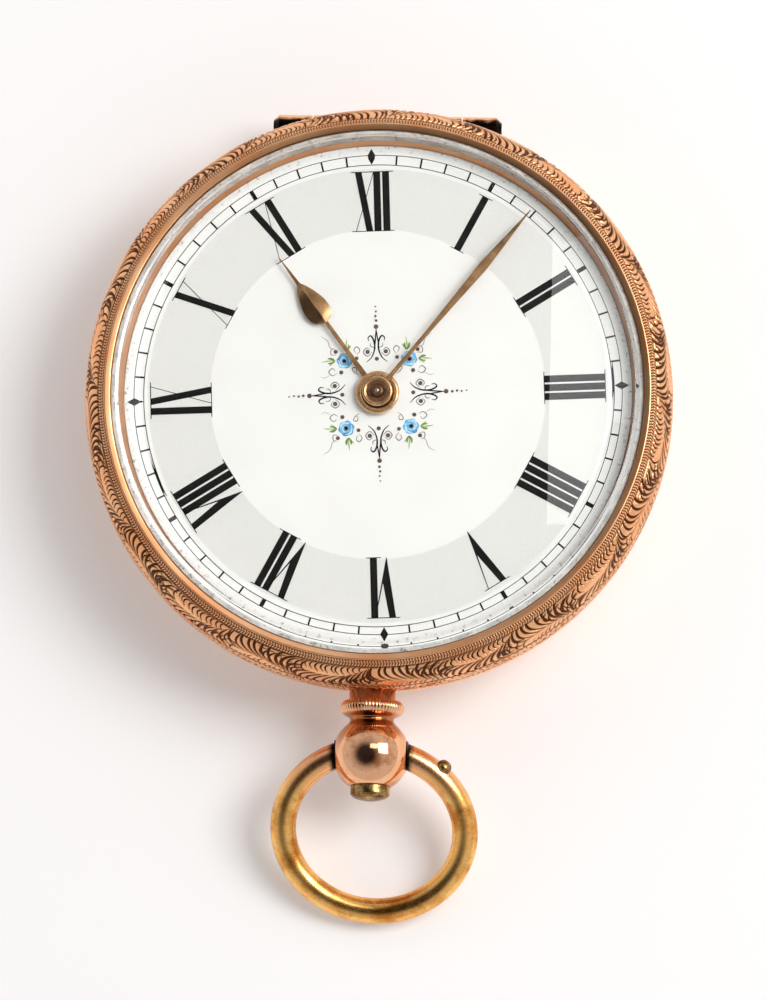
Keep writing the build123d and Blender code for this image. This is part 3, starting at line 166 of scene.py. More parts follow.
# ---------- camera and light
CAMERA_TILT = 10.5          # from straight above, towards -Y
CAMERA_SWING = 2.7          # and this much towards +X
CAMERA_ROLL = 1.4
CAMERA_DISTANCE = 500.0
CAMERA_TARGET = Vector((0.3655, -6.8393, 5.25))
VIEW_HEIGHT = 68.325
FILM = 36.0
KEY_AT = (372, 110, 466)
KEY_SIZE = 300
KEY_POWER = 2.1
KEY_COLOUR = (1.0, 0.99, 0.975)
WINDOW_AT = (99.5, 145, 498)
WINDOW_SIZE = (200, 130)
WINDOW_POWER = 0.14
FLOOR_HALF = 3000
FLOOR_Z = -0.02
FLOOR_GLOW = 0.18
DARK_SIDE = (-0.22, -0.10, 0.95)
WORLD_LEVEL = 0.70


# ---------- meshes
def linked(name, data):
    """A new object in the scene."""
    obj = bpy.data.objects.new(name, data)
    bpy.context.scene.collection.objects.link(obj)
    return obj


def new_object(name, mesh, material, body, smooth=True):
    """Links a mesh, gives it a material and makes it ride on a body."""
    if smooth:
        mesh.shade_smooth()
    obj = linked(name, mesh)
    mesh.materials.append(material)
    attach(obj, body)
    return obj


def mesh_of(name, points, faces):
    mesh = bpy.data.meshes.new(name)
    mesh.from_pydata([(x * MM, y * MM, z * MM) for x, y, z in points], [], faces)
    mesh.validate()
    mesh.update()
    return mesh


def grid_mesh(name, points):
    """A mesh from a grid of points (rows, columns, 3) whose columns close into a ring."""
    rows, columns = points.shape[:2]
    index = np.arange(rows * columns).reshape(rows, columns)
    right = np.roll(index, -1, axis=1)
    quads = np.stack([index[:-1], right[:-1], right[1:], index[1:]], axis=-1).reshape(-1, 4)
    mesh = bpy.data.meshes.new(name)
    mesh.vertices.add(rows * columns)
    mesh.vertices.foreach_set("co", (points * MM).astype(np.float32).ravel())
    mesh.loops.add(quads.size)
    mesh.loops.foreach_set("vertex_index", quads.astype(np.int32).ravel())
    mesh.polygons.add(len(quads))
    mesh.polygons.foreach_set("loop_start", np.arange(0, quads.size, 4, dtype=np.int32))
    mesh.update(calc_edges=True)
    mesh.validate()
    return mesh


def rounded(points, radius, steps=4, closed=True, support=0.04):
    """Rounds the corners of an outline of (r, z) points, with a point on the flat beside each."""
    out = []
    count = len(points)
    for n, corner in enumerate(points):
        here = np.array(corner, float)
        if not closed and n in (0, count - 1):
            out.append(tuple(here))
            continue
        before = np.array(points[n - 1], float) - here
        after = np.array(points[(n + 1) % count], float) - here
        lengths = np.linalg.norm(before), np.linalg.norm(after)
        before, after = before / lengths[0], after / lengths[1]
        reach = min(radius, lengths[0] * 0.45, lengths[1] * 0.45)
        if lengths[0] * 0.45 > reach + support:
            out.append(tuple(here + before * (reach + support)))
        for k in range(steps + 1):
            t = k / steps
            out.append(tuple(here + before * reach * (1 - t) ** 2 + after * reach * t ** 2))
        if lengths[1] * 0.45 > reach + support:
            out.append(tuple(here + after * (reach + support)))
    return out


def lathe_mesh(name, profile, segments=192, closed=True):
    """Turns an outline of (radius, height) about Z. It runs so that its left side is outside."""
    ring = np.linspace(0, 2 * pi, segments, endpoint=False)
    outline = np.array(profile + ([profile[0]] if closed else []), float)
    radius = np.maximum(outline[:, 0], 1e-4)
    points = np.stack(
        [
            radius[:, None] * np.cos(ring)[None, :],
            radius[:, None] * np.sin(ring)[None, :],
            np.repeat(outline[:, 1][:, None], segments, axis=1),
        ],
        axis=-1,
    )
    return grid_mesh(name, points)


def spline(points, steps):
    """Points along a smooth line that passes through a few given ones."""
    knots = np.array(points, float)
    last = len(knots) - 1
    line = []
    for n in range(last):
        p0, p1, p2, p3 = knots[max(n - 1, 0)], knots[n], knots[n + 1], knots[min(n + 2, last)]
        for t in np.linspace(0, 1, steps, endpoint=n == last - 1):
            line.append(
                0.5 * (2 * p1 + (p2 - p0) * t + (2 * p0 - 5 * p1 + 4 * p2 - p3) * t ** 2
                       + (3 * p1 - p0 - 3 * p2 + p3) * t ** 3)
            )
    return np.array(line)


def sideways(line):
    """Directions at right angles to a flat line, on its left."""
    run = np.gradient(line, axis=0)
    side = np.stack([-run[:, 1], run[:, 0]], axis=1)
    return side / np.maximum(np.linalg.norm(side, axis=1), 1e-9)[:, None]


def turn_mesh(mesh, matrix):
    """Moves a mesh's points by a matrix given in millimetres."""
    scale = Matrix.Scale(MM, 4)
    mesh.transform(scale @ matrix @ scale.inverted())
    return mesh


def along_y(mesh, x, y, z):
    """Lays a lathe's axis along -Y: its height 0 comes to y."""
    return turn_mesh(mesh, Matrix.Translation((x, y, z)) @ Matrix.Rotation(radians(90), 4, "X"))


# ---------- node helpers
def node_material(name):
    material = bpy.data.materials.new(name)
    material.use_nodes = True
    return material, material.node_tree, material.node_tree.nodes["Principled BSDF"]


def add(tree, kind, **settings):
    node = tree.nodes.new(kind)
    for key, value in settings.items():
        setattr(node, key, value)
    return node


def feed(tree, socket, value):
    """Links a socket to an output, or sets it to a number, a vector or a colour."""
    if isinstance(value, bpy.types.NodeSocket):
        tree.links.new(value, socket)
    elif socket.type == "RGBA":
        socket.default_value = (*value, 1.0)
    else:
        socket.default_value = value


def wired(tree, kind, output, inputs, **settings):
    """Adds a node, feeds its inputs and gives one of its outputs."""
    node = add(tree, kind, **settings)
    for key, value in inputs.items():
        feed(tree, node.inputs[key], value)
    return node.outputs[output]


def math_node(tree, operation, *values):
    return wired(tree, "ShaderNodeMath", 0, dict(enumerate(values)), operation=operation)


def vector_node(tree, operation, output, *values):
    inputs = dict(enumerate(values))
    return wired(tree, "ShaderNodeVectorMath", output, inputs, operation=operation)


def coordinates(tree):
    """Object coordinates in millimetres."""
    place = add(tree, "ShaderNodeTexCoord").outputs["Object"]
    inputs = {"Scale": (1 / MM, 1 / MM, 1 / MM), "Vector": place}
    return wired(tree, "ShaderNodeMapping", "Vector", inputs)


def split(tree, vector):
    """The X, Y and Z of a vector."""
    node = add(tree, "ShaderNodeSeparateXYZ")
    tree.links.new(vector, node.inputs[0])
    return node.outputs["X"], node.outputs["Y"], node.outputs["Z"]


def from_axis(tree, place):
    """Distance from the upright axis through the dial's middle."""
    flat = vector_node(tree, "MULTIPLY", "Vector", place, (1.0, 1.0, 0.0))
    return vector_node(tree, "LENGTH", "Value", flat)


def noise(tree, vector, scale, detail=3.0, roughness=0.5):
    inputs = {"Scale": scale, "Detail": detail, "Roughness": roughness, "Vector": vector}
    return wired(tree, "ShaderNodeTexNoise", "Fac", inputs)


def ramp(tree, value, stops):
    node = add(tree, "ShaderNodeValToRGB")
    while len(node.color_ramp.elements) < len(stops):
        node.color_ramp.elements.new(0.5)
    for element, (place, colour) in zip(node.color_ramp.elements, stops):
        element.position = place
        element.color = (*colour, 1.0)
    tree.links.new(value, node.inputs["Fac"])
    return node.outputs["Color"]


def spread(tree, value, low_in, high_in, low_out, high_out):
    """Carries a value from one range to another, and holds it at both ends."""
    inputs = {"From Min": low_in, "From Max": high_in, "To Min": low_out, "To Max": high_out}
    return wired(tree, "ShaderNodeMapRange", "Result", {**inputs, "Value": value})


def mixed(tree, factor, first, second):
    """Mixes two colours, each a socket or three numbers."""
    return wired(tree, "ShaderNodeMix", 2, {6: first, 7: second, 0: factor}, data_type="RGBA")


def product(tree, first, *others):
    for other in others:
        first = math_node(tree, "MULTIPLY", first, other)
    return first


def bump(tree, shader, height, strength, distance):
    inputs = {"Strength": strength, "Distance": distance, "Height": height}
    feed(tree, shader.inputs["Normal"], wired(tree, "ShaderNodeBump", "Normal", inputs))


def colour_of(shader):
    """The socket that gives a shader its colour."""
    return shader.inputs["Base Color"].links[0].from_socket


def set_colour(tree, shader, colour):
    tree.links.new(colour, shader.inputs["Base Color"])


# ---------- materials
def polished_metal(name, light, dark, rough_low, rough_high, scale=0.6, scratches=0.12):
    """A worn polished metal: cloudy colour, uneven gloss and fine scratches."""
    material, tree, shader = node_material(name)
    place = coordinates(tree)
    cloud = noise(tree, place, scale, 4.0)
    set_colour(tree, shader, ramp(tree, cloud, [(0.3, dark), (0.7, light)]))
    shader.inputs["Metallic"].default_value = 1.0
    fine = noise(tree, place, 6.0, 6.0, 0.7)
    gloss = spread(tree, fine, 0.3, 0.7, rough_low, rough_high)
    tree.links.new(gloss, shader.inputs["Roughness"])
    bump(tree, shader, fine, scratches, 0.00001)
    return material


def worn_metal(name, light, dark, stain, scale, amount, rough_low, rough_high):
    """A polished metal that brown tarnish has crept over in soft islands."""
    material = polished_metal(name, light, dark, rough_low, rough_high)
    tree = material.node_tree
    shader = tree.nodes["Principled BSDF"]
    place = coordinates(tree)
    patches = noise(tree, place, scale, 6.0, 0.6)
    islands = spread(tree, patches, 0.62 - amount, 0.78 - amount, 0.0, 0.85)
    set_colour(tree, shader, mixed(tree, islands, colour_of(shader), stain))
    return material, tree, shader, place


def engraved_gold():
    """Rose gold whose cuts hold brown tarnish, with painted shade where the cut mask runs against
    the crystal; the depth of each cut is in the mesh.
    """
    material, tree, shader = node_material("engraved_rose_gold")
    place = coordinates(tree)
    cloud = noise(tree, place, 0.35, 4.0)
    polished = ramp(tree, cloud, [(0.32, ROSE_DARK), (0.68, ROSE_LIGHT)])
    cut = add(tree, "ShaderNodeAttribute", attribute_name="cut").outputs["Fac"]
    # the cut mask darkens the cuts with tarnish and paints shade along the crystal
    tarnish_and_shade = spread(tree, cut, 0.08, 0.72, 0.0, 0.96)
    set_colour(tree, shader, mixed(tree, tarnish_and_shade, polished, ROSE_TARNISH_AND_SHADE))
    shader.inputs["Metallic"].default_value = 1.0
    tree.links.new(spread(tree, cut, 0.0, 1.0, 0.3, 0.5), shader.inputs["Roughness"])
    bump(tree, shader, noise(tree, place, 9.0, 5.0, 0.7), 0.1, 0.00001)
    return material


def bow_brass():
    """Yellow brass rubbed bright outside, brown where fingers and the pendant miss it."""
    material, tree, shader, place = worn_metal(
        "yellow_brass", (1.0, 0.62, 0.21), (1.0, 0.49, 0.12), (0.52, 0.17, 0.02),
        0.45, 0.14, 0.17, 0.32,
    )
    y = split(tree, place)[1]
    grain = spread(tree, noise(tree, place, 7.0, 4.0, 0.7), 0.5, 0.68, 0.0, 0.4)
    metal = mixed(tree, grain, colour_of(shader), (0.66, 0.25, 0.04))
    # the ends have worn to a rosier gold
    rose = spread(tree, y, -BALL_Y - 3.0, -BALL_Y - 0.5, 0.0, 0.85)
    metal = mixed(tree, rose, metal, (0.90, 0.46, 0.25))
    # near black on the ends, within half a millimetre of the ball
    away = vector_node(tree, "DISTANCE", "Value", place, tuple(BOW_PIVOT))
    near = spread(tree, away, BALL_R + 0.12, BALL_R + 0.42, 1.0, 0.0)
    set_colour(tree, shader, mixed(tree, near, metal, BALL_GAP_DARK))
    return material


def pendant_gold():
    """The pendant's rose gold, with orange-brown tarnish round its waist."""
    material, tree, shader, place = worn_metal(
        "pendant_rose_gold", (0.96, 0.58, 0.36), (0.88, 0.44, 0.23), (0.50, 0.16, 0.05),
        0.6, 0.12, 0.05, 0.14,
    )
    y = split(tree, place)[1]
    near = spread(tree, y, -BALL_Y + 0.9, -BALL_Y + 2.2, 0.0, 0.9)
    far = spread(tree, y, -CASE_R - 1.75, -CASE_R - 1.60, 1.0, 0.0)
    waist = product(tree, near, far)
    # the neck has lost its polish
    neck_y = -CASE_R - NECK_L
    dull = spread(tree, y, neck_y - 0.1, neck_y + 0.1, 0.0, 0.36)
    gloss = shader.inputs["Roughness"].links[0].from_socket
    tree.links.new(math_node(tree, "MAXIMUM", gloss, dull), shader.inputs["Roughness"])
    set_colour(tree, shader, mixed(tree, waist, colour_of(shader), (0.44, 0.14, 0.04)))
    return material


def engine_turning(tree, place):
    """Height of the waved rays turned into the back round a plain middle, and where they run."""
    x, y = split(tree, place)[:2]
    radius = from_axis(tree, place)
    rays = math_node(tree, "MULTIPLY", math_node(tree, "ARCTAN2", y, x), TURNING_RAYS)
    turns = math_node(tree, "MULTIPLY", radius, 2 * pi / TURNING_WAVE)
    sway = math_node(tree, "SINE", turns)
    waves = [
        math_node(tree, "COSINE", math_node(tree, way, rays, sway)) for way in ("ADD", "SUBTRACT")
    ]
    crossed = math_node(tree, "MAXIMUM", *waves)
    inside = spread(tree, radius, TURNING_IN_R, TURNING_IN_R + 0.15, 0.0, 1.0)
    outside = spread(tree, radius, TURNING_OUT_R - 0.15, TURNING_OUT_R, 1.0, 0.0)
    facing = add(tree, "ShaderNodeTexCoord").outputs["Normal"]
    underside = spread(tree, split(tree, facing)[2], -0.75, -0.65, 1.0, 0.0)
    field = product(tree, inside, outside, underside)
    return product(tree, crossed, field), field


def case_gold(name="rose_gold", turned=False):
    """Polished rose gold, with near-black painted shade between the joint's knuckles and the band.
    """
    material = polished_metal(name, ROSE_LIGHT, ROSE_DEEP, 0.10, 0.2, 0.25)
    tree = material.node_tree
    shader = tree.nodes["Principled BSDF"]
    place = coordinates(tree)
    y = split(tree, place)[1]
    uneven = spread(tree, noise(tree, place, 1.5, 4.0), 0.3, 0.7, -0.15, 0.15)
    edge = math_node(tree, "ADD", y, uneven)
    shelf = spread(tree, edge, JOINT_Y + 0.30, JOINT_Y + 0.55, 1.0, 0.0)
    outside = spread(tree, from_axis(tree, place), CASE_R - 0.05, CASE_R + 0.02, 0.0, 1.0)
    joint = product(tree, shelf, outside, spread(tree, y, 15.0, 17.0, 0.0, 1.0))
    # painted shade: near black where the joint's knuckles stand off the band
    gold = mixed(tree, joint, colour_of(shader), JOINT_PAINTED_SHADE)
    if turned:
        height, field = engine_turning(tree, place)
        bump(tree, shader, height, 1.0, 0.00009)
        # painted shade darkens the hollows of the turning
        hollow = product(tree, spread(tree, height, 0.0, -0.8, 0.0, 0.5), field)
        gold = mixed(tree, hollow, gold, ROSE_SHADE)
    set_colour(tree, shader, gold)
    return material


def plain_paint(name, colour, roughness=0.35, mottle=0.1, specular=0.5):
    """Fired enamel paint, a little uneven as brushed by hand."""
    material, tree, shader = node_material(name)
    cloud = noise(tree, coordinates(tree), 4.0, 3.0)
    darker = tuple(c * (1 - mottle) for c in colour)
    lighter = tuple(min(1.0, c * (1 + mottle)) for c in colour)
    set_colour(tree, shader, ramp(tree, cloud, [(0.35, darker), (0.65, lighter)]))
    shader.inputs["Roughness"].default_value = roughness
    shader.inputs["Specular IOR Level"].default_value = specular
    return material


def enamel():
    """White enamel with the greyer matt chapter ring, and a rim greyed by painted shade, with brown
    dirt specks.
    """
    material, tree, shader = node_material("white_enamel")
    place = coordinates(tree)
    radius = from_axis(tree, place)
    inside = spread(tree, radius, CHAPTER_IN_R - 0.06, CHAPTER_IN_R + 0.06, 0.0, 1.0)
    outside = spread(tree, radius, CHAPTER_OUT_R - 0.05, CHAPTER_OUT_R + 0.05, 1.0, 0.0)
    cloud = noise(tree, place, 0.25, 4.0)
    white = ramp(tree, cloud, [(0.3, (0.90, 0.89, 0.875)), (0.7, (0.935, 0.93, 0.92))])
    grain = noise(tree, place, 9.0, 2.0)
    grey = ramp(tree, grain, [(0.35, (0.765, 0.76, 0.74)), (0.65, (0.82, 0.815, 0.795))])
    plain = mixed(tree, product(tree, inside, outside), white, grey)
    # painted shade: the last half millimetre is greyed as if shaded by the bezel, with brown dirt
    # specks on it
    rim = spread(tree, radius, DIAL_R - 0.6, DIAL_R - 0.05, 0.0, 1.0)
    speck = spread(tree, noise(tree, place, 3.2, 5.0, 0.7), 0.55, 0.66, 0.0, 0.9)
    rim_shade_and_specks = mixed(tree, speck, (0.77, 0.76, 0.745), (0.25, 0.14, 0.09))
    set_colour(tree, shader, mixed(tree, rim, plain, rim_shade_and_specks))
    shader.inputs["Roughness"].default_value = 0.12
    shader.inputs["IOR"].default_value = 1.52
    return material


def old_cement():
    """Greyish white cement, cracked and full of brown specks."""
    material, tree, shader = node_material("old_cement")
    place = coordinates(tree)
    cloud = noise(tree, place, 0.8, 4.0)
    tone = ramp(tree, cloud, [(0.35, (0.48, 0.465, 0.45)), (0.65, (0.74, 0.73, 0.71))])
    speck = spread(tree, noise(tree, place, 3.0, 6.0, 0.75), 0.54, 0.64, 0.0, 0.85)
    set_colour(tree, shader, mixed(tree, speck, tone, (0.20, 0.11, 0.07)))
    shader.inputs["Roughness"].default_value = 0.7
    return material


def glass():
    """Clear mineral glass that lets the lamps through."""
    material, tree, shader = node_material("crystal_glass")
    shader.inputs["Base Color"].default_value = (0.985, 0.99, 0.985, 1.0)
    shader.inputs["Roughness"].default_value = 0.0
    shader.inputs["IOR"].default_value = 1.5
    shader.inputs["Transmission Weight"].default_value = 1.0
    path = add(tree, "ShaderNodeLightPath")
    clear = add(tree, "ShaderNodeBsdfTransparent")
    clear.inputs["Color"].default_value = (0.93, 0.94, 0.93, 1.0)
    mix = add(tree, "ShaderNodeMixShader")
    tree.links.new(path.outputs["Is Shadow Ray"], mix.inputs["Fac"])
    tree.links.new(shader.outputs["BSDF"], mix.inputs[1])
    tree.links.new(clear.outputs["BSDF"], mix.inputs[2])
    tree.links.new(mix.outputs["Shader"], tree.nodes["Material Output"].inputs["Surface"])
    return material


ENGRAVED = engraved_gold()
ROSE = case_gold()
TURNED_ROSE = case_gold("engine_turned_rose_gold", True)
BRASS = bow_brass()
PENDANT_GOLD = pendant_gold()
BUTTON_BRASS = worn_metal(
    "button_brass", (0.66, 0.45, 0.18), (0.46, 0.28, 0.10), (0.13, 0.06, 0.02), 1.3, 0.22, 0.2, 0.4
)[0]
GILT = polished_metal("gilt_hands", (0.56, 0.33, 0.16), (0.27, 0.145, 0.065), 0.16, 0.28, 0.9)
BOSS_GILT = polished_metal("gilt_bosses", (0.98, 0.62, 0.34), (0.66, 0.36, 0.16), 0.14, 0.26, 1.2)
BROWNED = polished_metal("browned_steel", (0.24, 0.12, 0.06), (0.10, 0.05, 0.03), 0.3, 0.5, 2.5)
FROSTED = polished_metal(
    "frosted_gilt", (0.86, 0.66, 0.30), (0.76, 0.54, 0.22), 0.38, 0.52, 1.2, 0.5
)
TRAIN = polished_metal("train_brass", (0.84, 0.64, 0.30), (0.72, 0.50, 0.20), 0.20, 0.34, 1.0)
STEEL = polished_metal("polished_steel", (0.62, 0.62, 0.63), (0.50, 0.50, 0.52), 0.12, 0.26, 1.0)
BLUED = polished_metal("blued_steel", (0.06, 0.10, 0.34), (0.03, 0.04, 0.16), 0.14, 0.28, 1.0)
ENAMEL = enamel()
CEMENT = old_cement()
GLASS = glass()
INK = plain_paint("black_enamel_paint", (0.004, 0.0036, 0.0034), 0.35, specular=0.2)
BROWN_PAINT = plain_paint("brown_paint", (0.11, 0.06, 0.045), 0.4, 0.25)
GREY_PAINT = plain_paint("grey_paint", (0.25, 0.235, 0.22), 0.4, 0.2)
BLUE_PAINT = plain_paint("blue_paint", (0.13, 0.40, 0.70), 0.35, 0.45)
PALE_BLUE_PAINT = plain_paint("pale_blue_paint", (0.45, 0.72, 0.90), 0.35, 0.15)
GREEN_PAINT = plain_paint("green_paint", (0.17, 0.27, 0.08), 0.4, 0.3)
LIME_PAINT = plain_paint("lime_paint", (0.44, 0.56, 0.20), 0.4, 0.2)
RUBY = plain_paint("ruby", (0.45, 0.02, 0.06), 0.08)

SLOT_MATERIALS = {
    "rose_gold": ROSE,
    "gilt_brass": BRASS,
    "gilt_movement": FROSTED,
    "train_brass": TRAIN,
    "steel": STEEL,
    "blued_steel": BLUED,
    "enamel": ENAMEL,
    "crystal": GLASS,
    "ruby": RUBY,
}
NODE_MATERIALS = {"cannon_pinion": BROWNED, "back_cover": TURNED_ROSE}


# ---------- the CAD's own pieces
def smooth_group():
    """Geometry nodes that join split points and smooth all but the sharp edges."""
    group = bpy.data.node_groups.new("smooth_by_angle", "GeometryNodeTree")
    group.interface.new_socket("Geometry", in_out="INPUT", socket_type="NodeSocketGeometry")
    group.interface.new_socket("Geometry", in_out="OUTPUT", socket_type="NodeSocketGeometry")
    start = group.nodes.new("NodeGroupInput")
    end = group.nodes.new("NodeGroupOutput")
    merge = group.nodes.new("GeometryNodeMergeByDistance")
    merge.inputs["Distance"].default_value = 1e-6
    faces = group.nodes.new("GeometryNodeSetShadeSmooth")
    edges = group.nodes.new("GeometryNodeSetShadeSmooth")
    edges.domain = "EDGE"
    edges.inputs["Shade Smooth"].default_value = False
    angle = group.nodes.new("GeometryNodeInputMeshEdgeAngle")
    sharp = group.nodes.new("FunctionNodeCompare")
    sharp.operation = "GREATER_THAN"
    sharp.inputs[1].default_value = radians(28)
    link = group.links.new
    link(start.outputs[0], merge.inputs["Geometry"])
    link(merge.outputs["Geometry"], faces.inputs["Geometry"])
    link(faces.outputs["Geometry"], edges.inputs["Geometry"])
    link(angle.outputs["Unsigned Angle"], sharp.inputs[0])
    link(sharp.outputs["Result"], edges.inputs["Selection"])
    link(edges.outputs["Geometry"], end.inputs[0])
    return group


def slot_material(old):
    """The finish for a slot of the CAD, whose name may carry a number at its end."""
    for slot, finish in SLOT_MATERIALS.items():
        if old is not None and old.name.startswith(slot):
            return finish
    return FROSTED


def dress_cad():
    """Every CAD node keeps its shape and gets its slot's material and smooth shading."""
    group = smooth_group()
    for node, obj in frame["nodes"].items():
        for slot in obj.material_slots:
            slot.material = NODE_MATERIALS.get(node, slot_material(slot.material))
        obj.modifiers.new("smooth", "NODES").node_group = group


# ---------- the engraved bezel and band
class Strip:
    """The case's engraved surface rolled out flat: u runs round the case, v across it."""

    def __init__(self, width, rows):
        self.length = 2 * pi * CASE_R
        self.cut = np.zeros((rows, RING_STEPS))
        self.v = np.linspace(0, width, rows)

    def stamp(self, u, v, radius, depth):
        """Presses one round touch of the graver."""
        columns = int(radius / self.length * RING_STEPS) + 2
        middle = int(round(u / self.length * RING_STEPS))
        picked = np.arange(middle - columns, middle + columns + 1)
        rows = np.nonzero(np.abs(self.v - v) < radius)[0]
        if len(rows) == 0:
            return
        du = picked * self.length / RING_STEPS - u
        dv = self.v[rows] - v
        shape = 1 - (du[None, :] ** 2 + dv[:, None] ** 2) / radius ** 2
        where = np.ix_(rows, picked % RING_STEPS)
        self.cut[where] = np.maximum(self.cut[where], depth * np.clip(shape, 0, 1) ** 0.7)

    def stroke(self, start, middle, end, width, depth=1.0):
        """A cut that starts fine, swells and ends fine, along a curve steered by three points."""
        start, middle, end = (np.array(p, float) for p in (start, middle, end))
        length = np.linalg.norm(middle - start) + np.linalg.norm(end - middle)
        steps = max(4, int(length / 0.04))
        for k in range(steps + 1):
            t = k / steps
            u, v = (1 - t) ** 2 * start + 2 * t * (1 - t) * middle + t ** 2 * end
            swell = sin(pi * (0.1 + 0.78 * t)) ** 0.8
            self.stamp(u, v, width * (0.3 + 0.7 * swell) / 2, depth * (0.35 + 0.65 * swell))


def crescent(strip, u, v, angle, side, size, width):
    """One leaflet: it bulges ahead of its foot on the rib and trails back at its tip."""
    ahead = np.array((cos(angle), sin(angle)))
    out = side * np.array((-sin(angle), cos(angle)))
    foot = np.array((u, v))
    middle = foot + (0.72 * ahead + 0.40 * out) * size
    strip.stroke(foot - 0.12 * size * ahead, middle, foot + (0.02 * ahead + out) * size, width)


def leaf(strip, u, v, heading, length, curl, side, reach, pitch, rng):
    """A curving rib with nested crescents on one side of it."""
    count = max(3, int(length / pitch))
    for n in range(count):
        t = (n + 0.5) / count
        step = length / count * (0.8 + 0.4 * rng.random())
        angle = heading + curl * t + 0.12 * (rng.random() - 0.5)
        ahead = (u + cos(angle) * step, v + sin(angle) * step)
        strip.stroke((u, v), ((u + ahead[0]) / 2, (v + ahead[1]) / 2), ahead, 0.08, 0.6)
        size = reach * sin(pi * (0.2 + 0.68 * t)) * (0.86 + 0.28 * rng.random())
        crescent(strip, u, v, angle, side, size, 0.085 + 0.085 * size)
        u, v = ahead


def scroll(strip, start, edge, way, span, period, rng):
    """One turn of the scroll, which leans over the field from one edge."""
    lean = way * 0.28 * span
    # the great leaf stands on a rib that rises from the edge and sinks back to it
    foot = edge + way * 0.03 * span
    leaf(strip, start, foot, lean, 0.6 * period, -1.8 * lean, way, 0.9 * span, 0.47, rng)
    # a low leaf lies under the arch of that rib
    u = start + 0.06 * period
    leaf(strip, u, edge, 0.05 * way, 0.42 * period, -0.1 * way, way, 0.32 * span, 0.36, rng)
    # and an opposed one along the far edge
    u, far = start - 0.06 * period, edge + 0.95 * way * span
    leaf(strip, u, far, -0.1 * way, 0.36 * period, 0.2 * way, -way, 0.55 * span, 0.44, rng)
    # two long commas close the gap ahead of the great leaf's tip
    for k in range(2):
        u = start + 0.56 * period + 0.34 * k
        head = (u - 0.3, edge + 0.62 * way * span)
        turn = (u + 0.45, edge + 0.52 * way * span)
        strip.stroke(head, turn, (u + 0.5, edge + 0.12 * way * span), 0.14)


def fine_line(places, at, width=LINE_W):
    """A line cut right round at one place across the surface."""
    return np.exp(-((places - at) / width) ** 2)[:, None]


def engrave(strip, low_v, high_v, periods, seed):
    """A running scroll of leaves that leans over from each edge in turn and fills the field."""
    rng = np.random.default_rng(seed)
    period = strip.length / periods
    for n in range(2 * periods):
        way = 1 if n % 2 == 0 else -1
        edge = low_v if way > 0 else high_v
        start = n * period / 2 + 0.2 * (rng.random() - 0.5)
        scroll(strip, start, edge, way, high_v - low_v, period, rng)
    for edge in (low_v, high_v):
        strip.cut = np.maximum(strip.cut, 0.8 * fine_line(strip.v, edge, 0.035))


def curve_through(points, step):
    """Evenly spaced points, their outward normals and their places along a smooth line."""
    dense = spline(points, 40)
    travel = np.concatenate([[0], np.cumsum(np.linalg.norm(np.diff(dense, axis=0), axis=1))])
    even = np.linspace(0, travel[-1], int(travel[-1] / step) + 1)
    line = np.stack([np.interp(even, travel, dense[:, k]) for k in (0, 1)], axis=1)
    return line, sideways(line), even


def cut_ring(name, line, normal, cut, tail):
    """The turned surface with its cuts pressed in, closed by a plain tail of (r, z) points."""
    ring = np.linspace(0, 2 * pi, RING_STEPS, endpoint=False)
    tail = np.array(tail, float)
    pressed = [line[:, k][:, None] - normal[:, k][:, None] * cut * CUT_DEPTH for k in (0, 1)]
    plain = [np.repeat(tail[:, k][:, None], RING_STEPS, axis=1) for k in (0, 1)]
    radius, height = (np.vstack(pair) for pair in zip(pressed, plain))
    cut = np.vstack([cut, np.zeros((len(tail), RING_STEPS))])
    points = np.stack([radius * np.sin(ring), radius * np.cos(ring), height], axis=-1)
    mesh = grid_mesh(name, points)
    layer = mesh.attributes.new("cut", "FLOAT", "POINT")
    layer.data.foreach_set("value", np.clip(cut, 0, 1).astype(np.float32).ravel())
    return mesh


def milled_rows(even, start, end):
    """Two rows of tiny slanted nicks between fine lines."""
    ring = np.linspace(0, 2 * pi, RING_STEPS, endpoint=False)
    cut = np.zeros((len(even), RING_STEPS))
    middle = (start + end) / 2
    for a, b, slant in ((start, middle, 0.6), (middle, end, -0.6)):
        across = np.clip((even - a) / (b - a), 0, 1)
        inside = ((even > a) & (even < b)).astype(float)
        lean = (across - 0.5) * slant
        wave = np.cos(MILLED_TEETH * ring[None, :] + 2 * pi * lean[:, None])
        body = np.clip(0.25 - wave, 0, 1.1) / 1.1
        cut += body * (inside * np.sin(pi * across) ** 0.6)[:, None]
    for edge in (start, middle, end):
        cut = np.maximum(cut, fine_line(even, edge) * 0.55)
    return cut


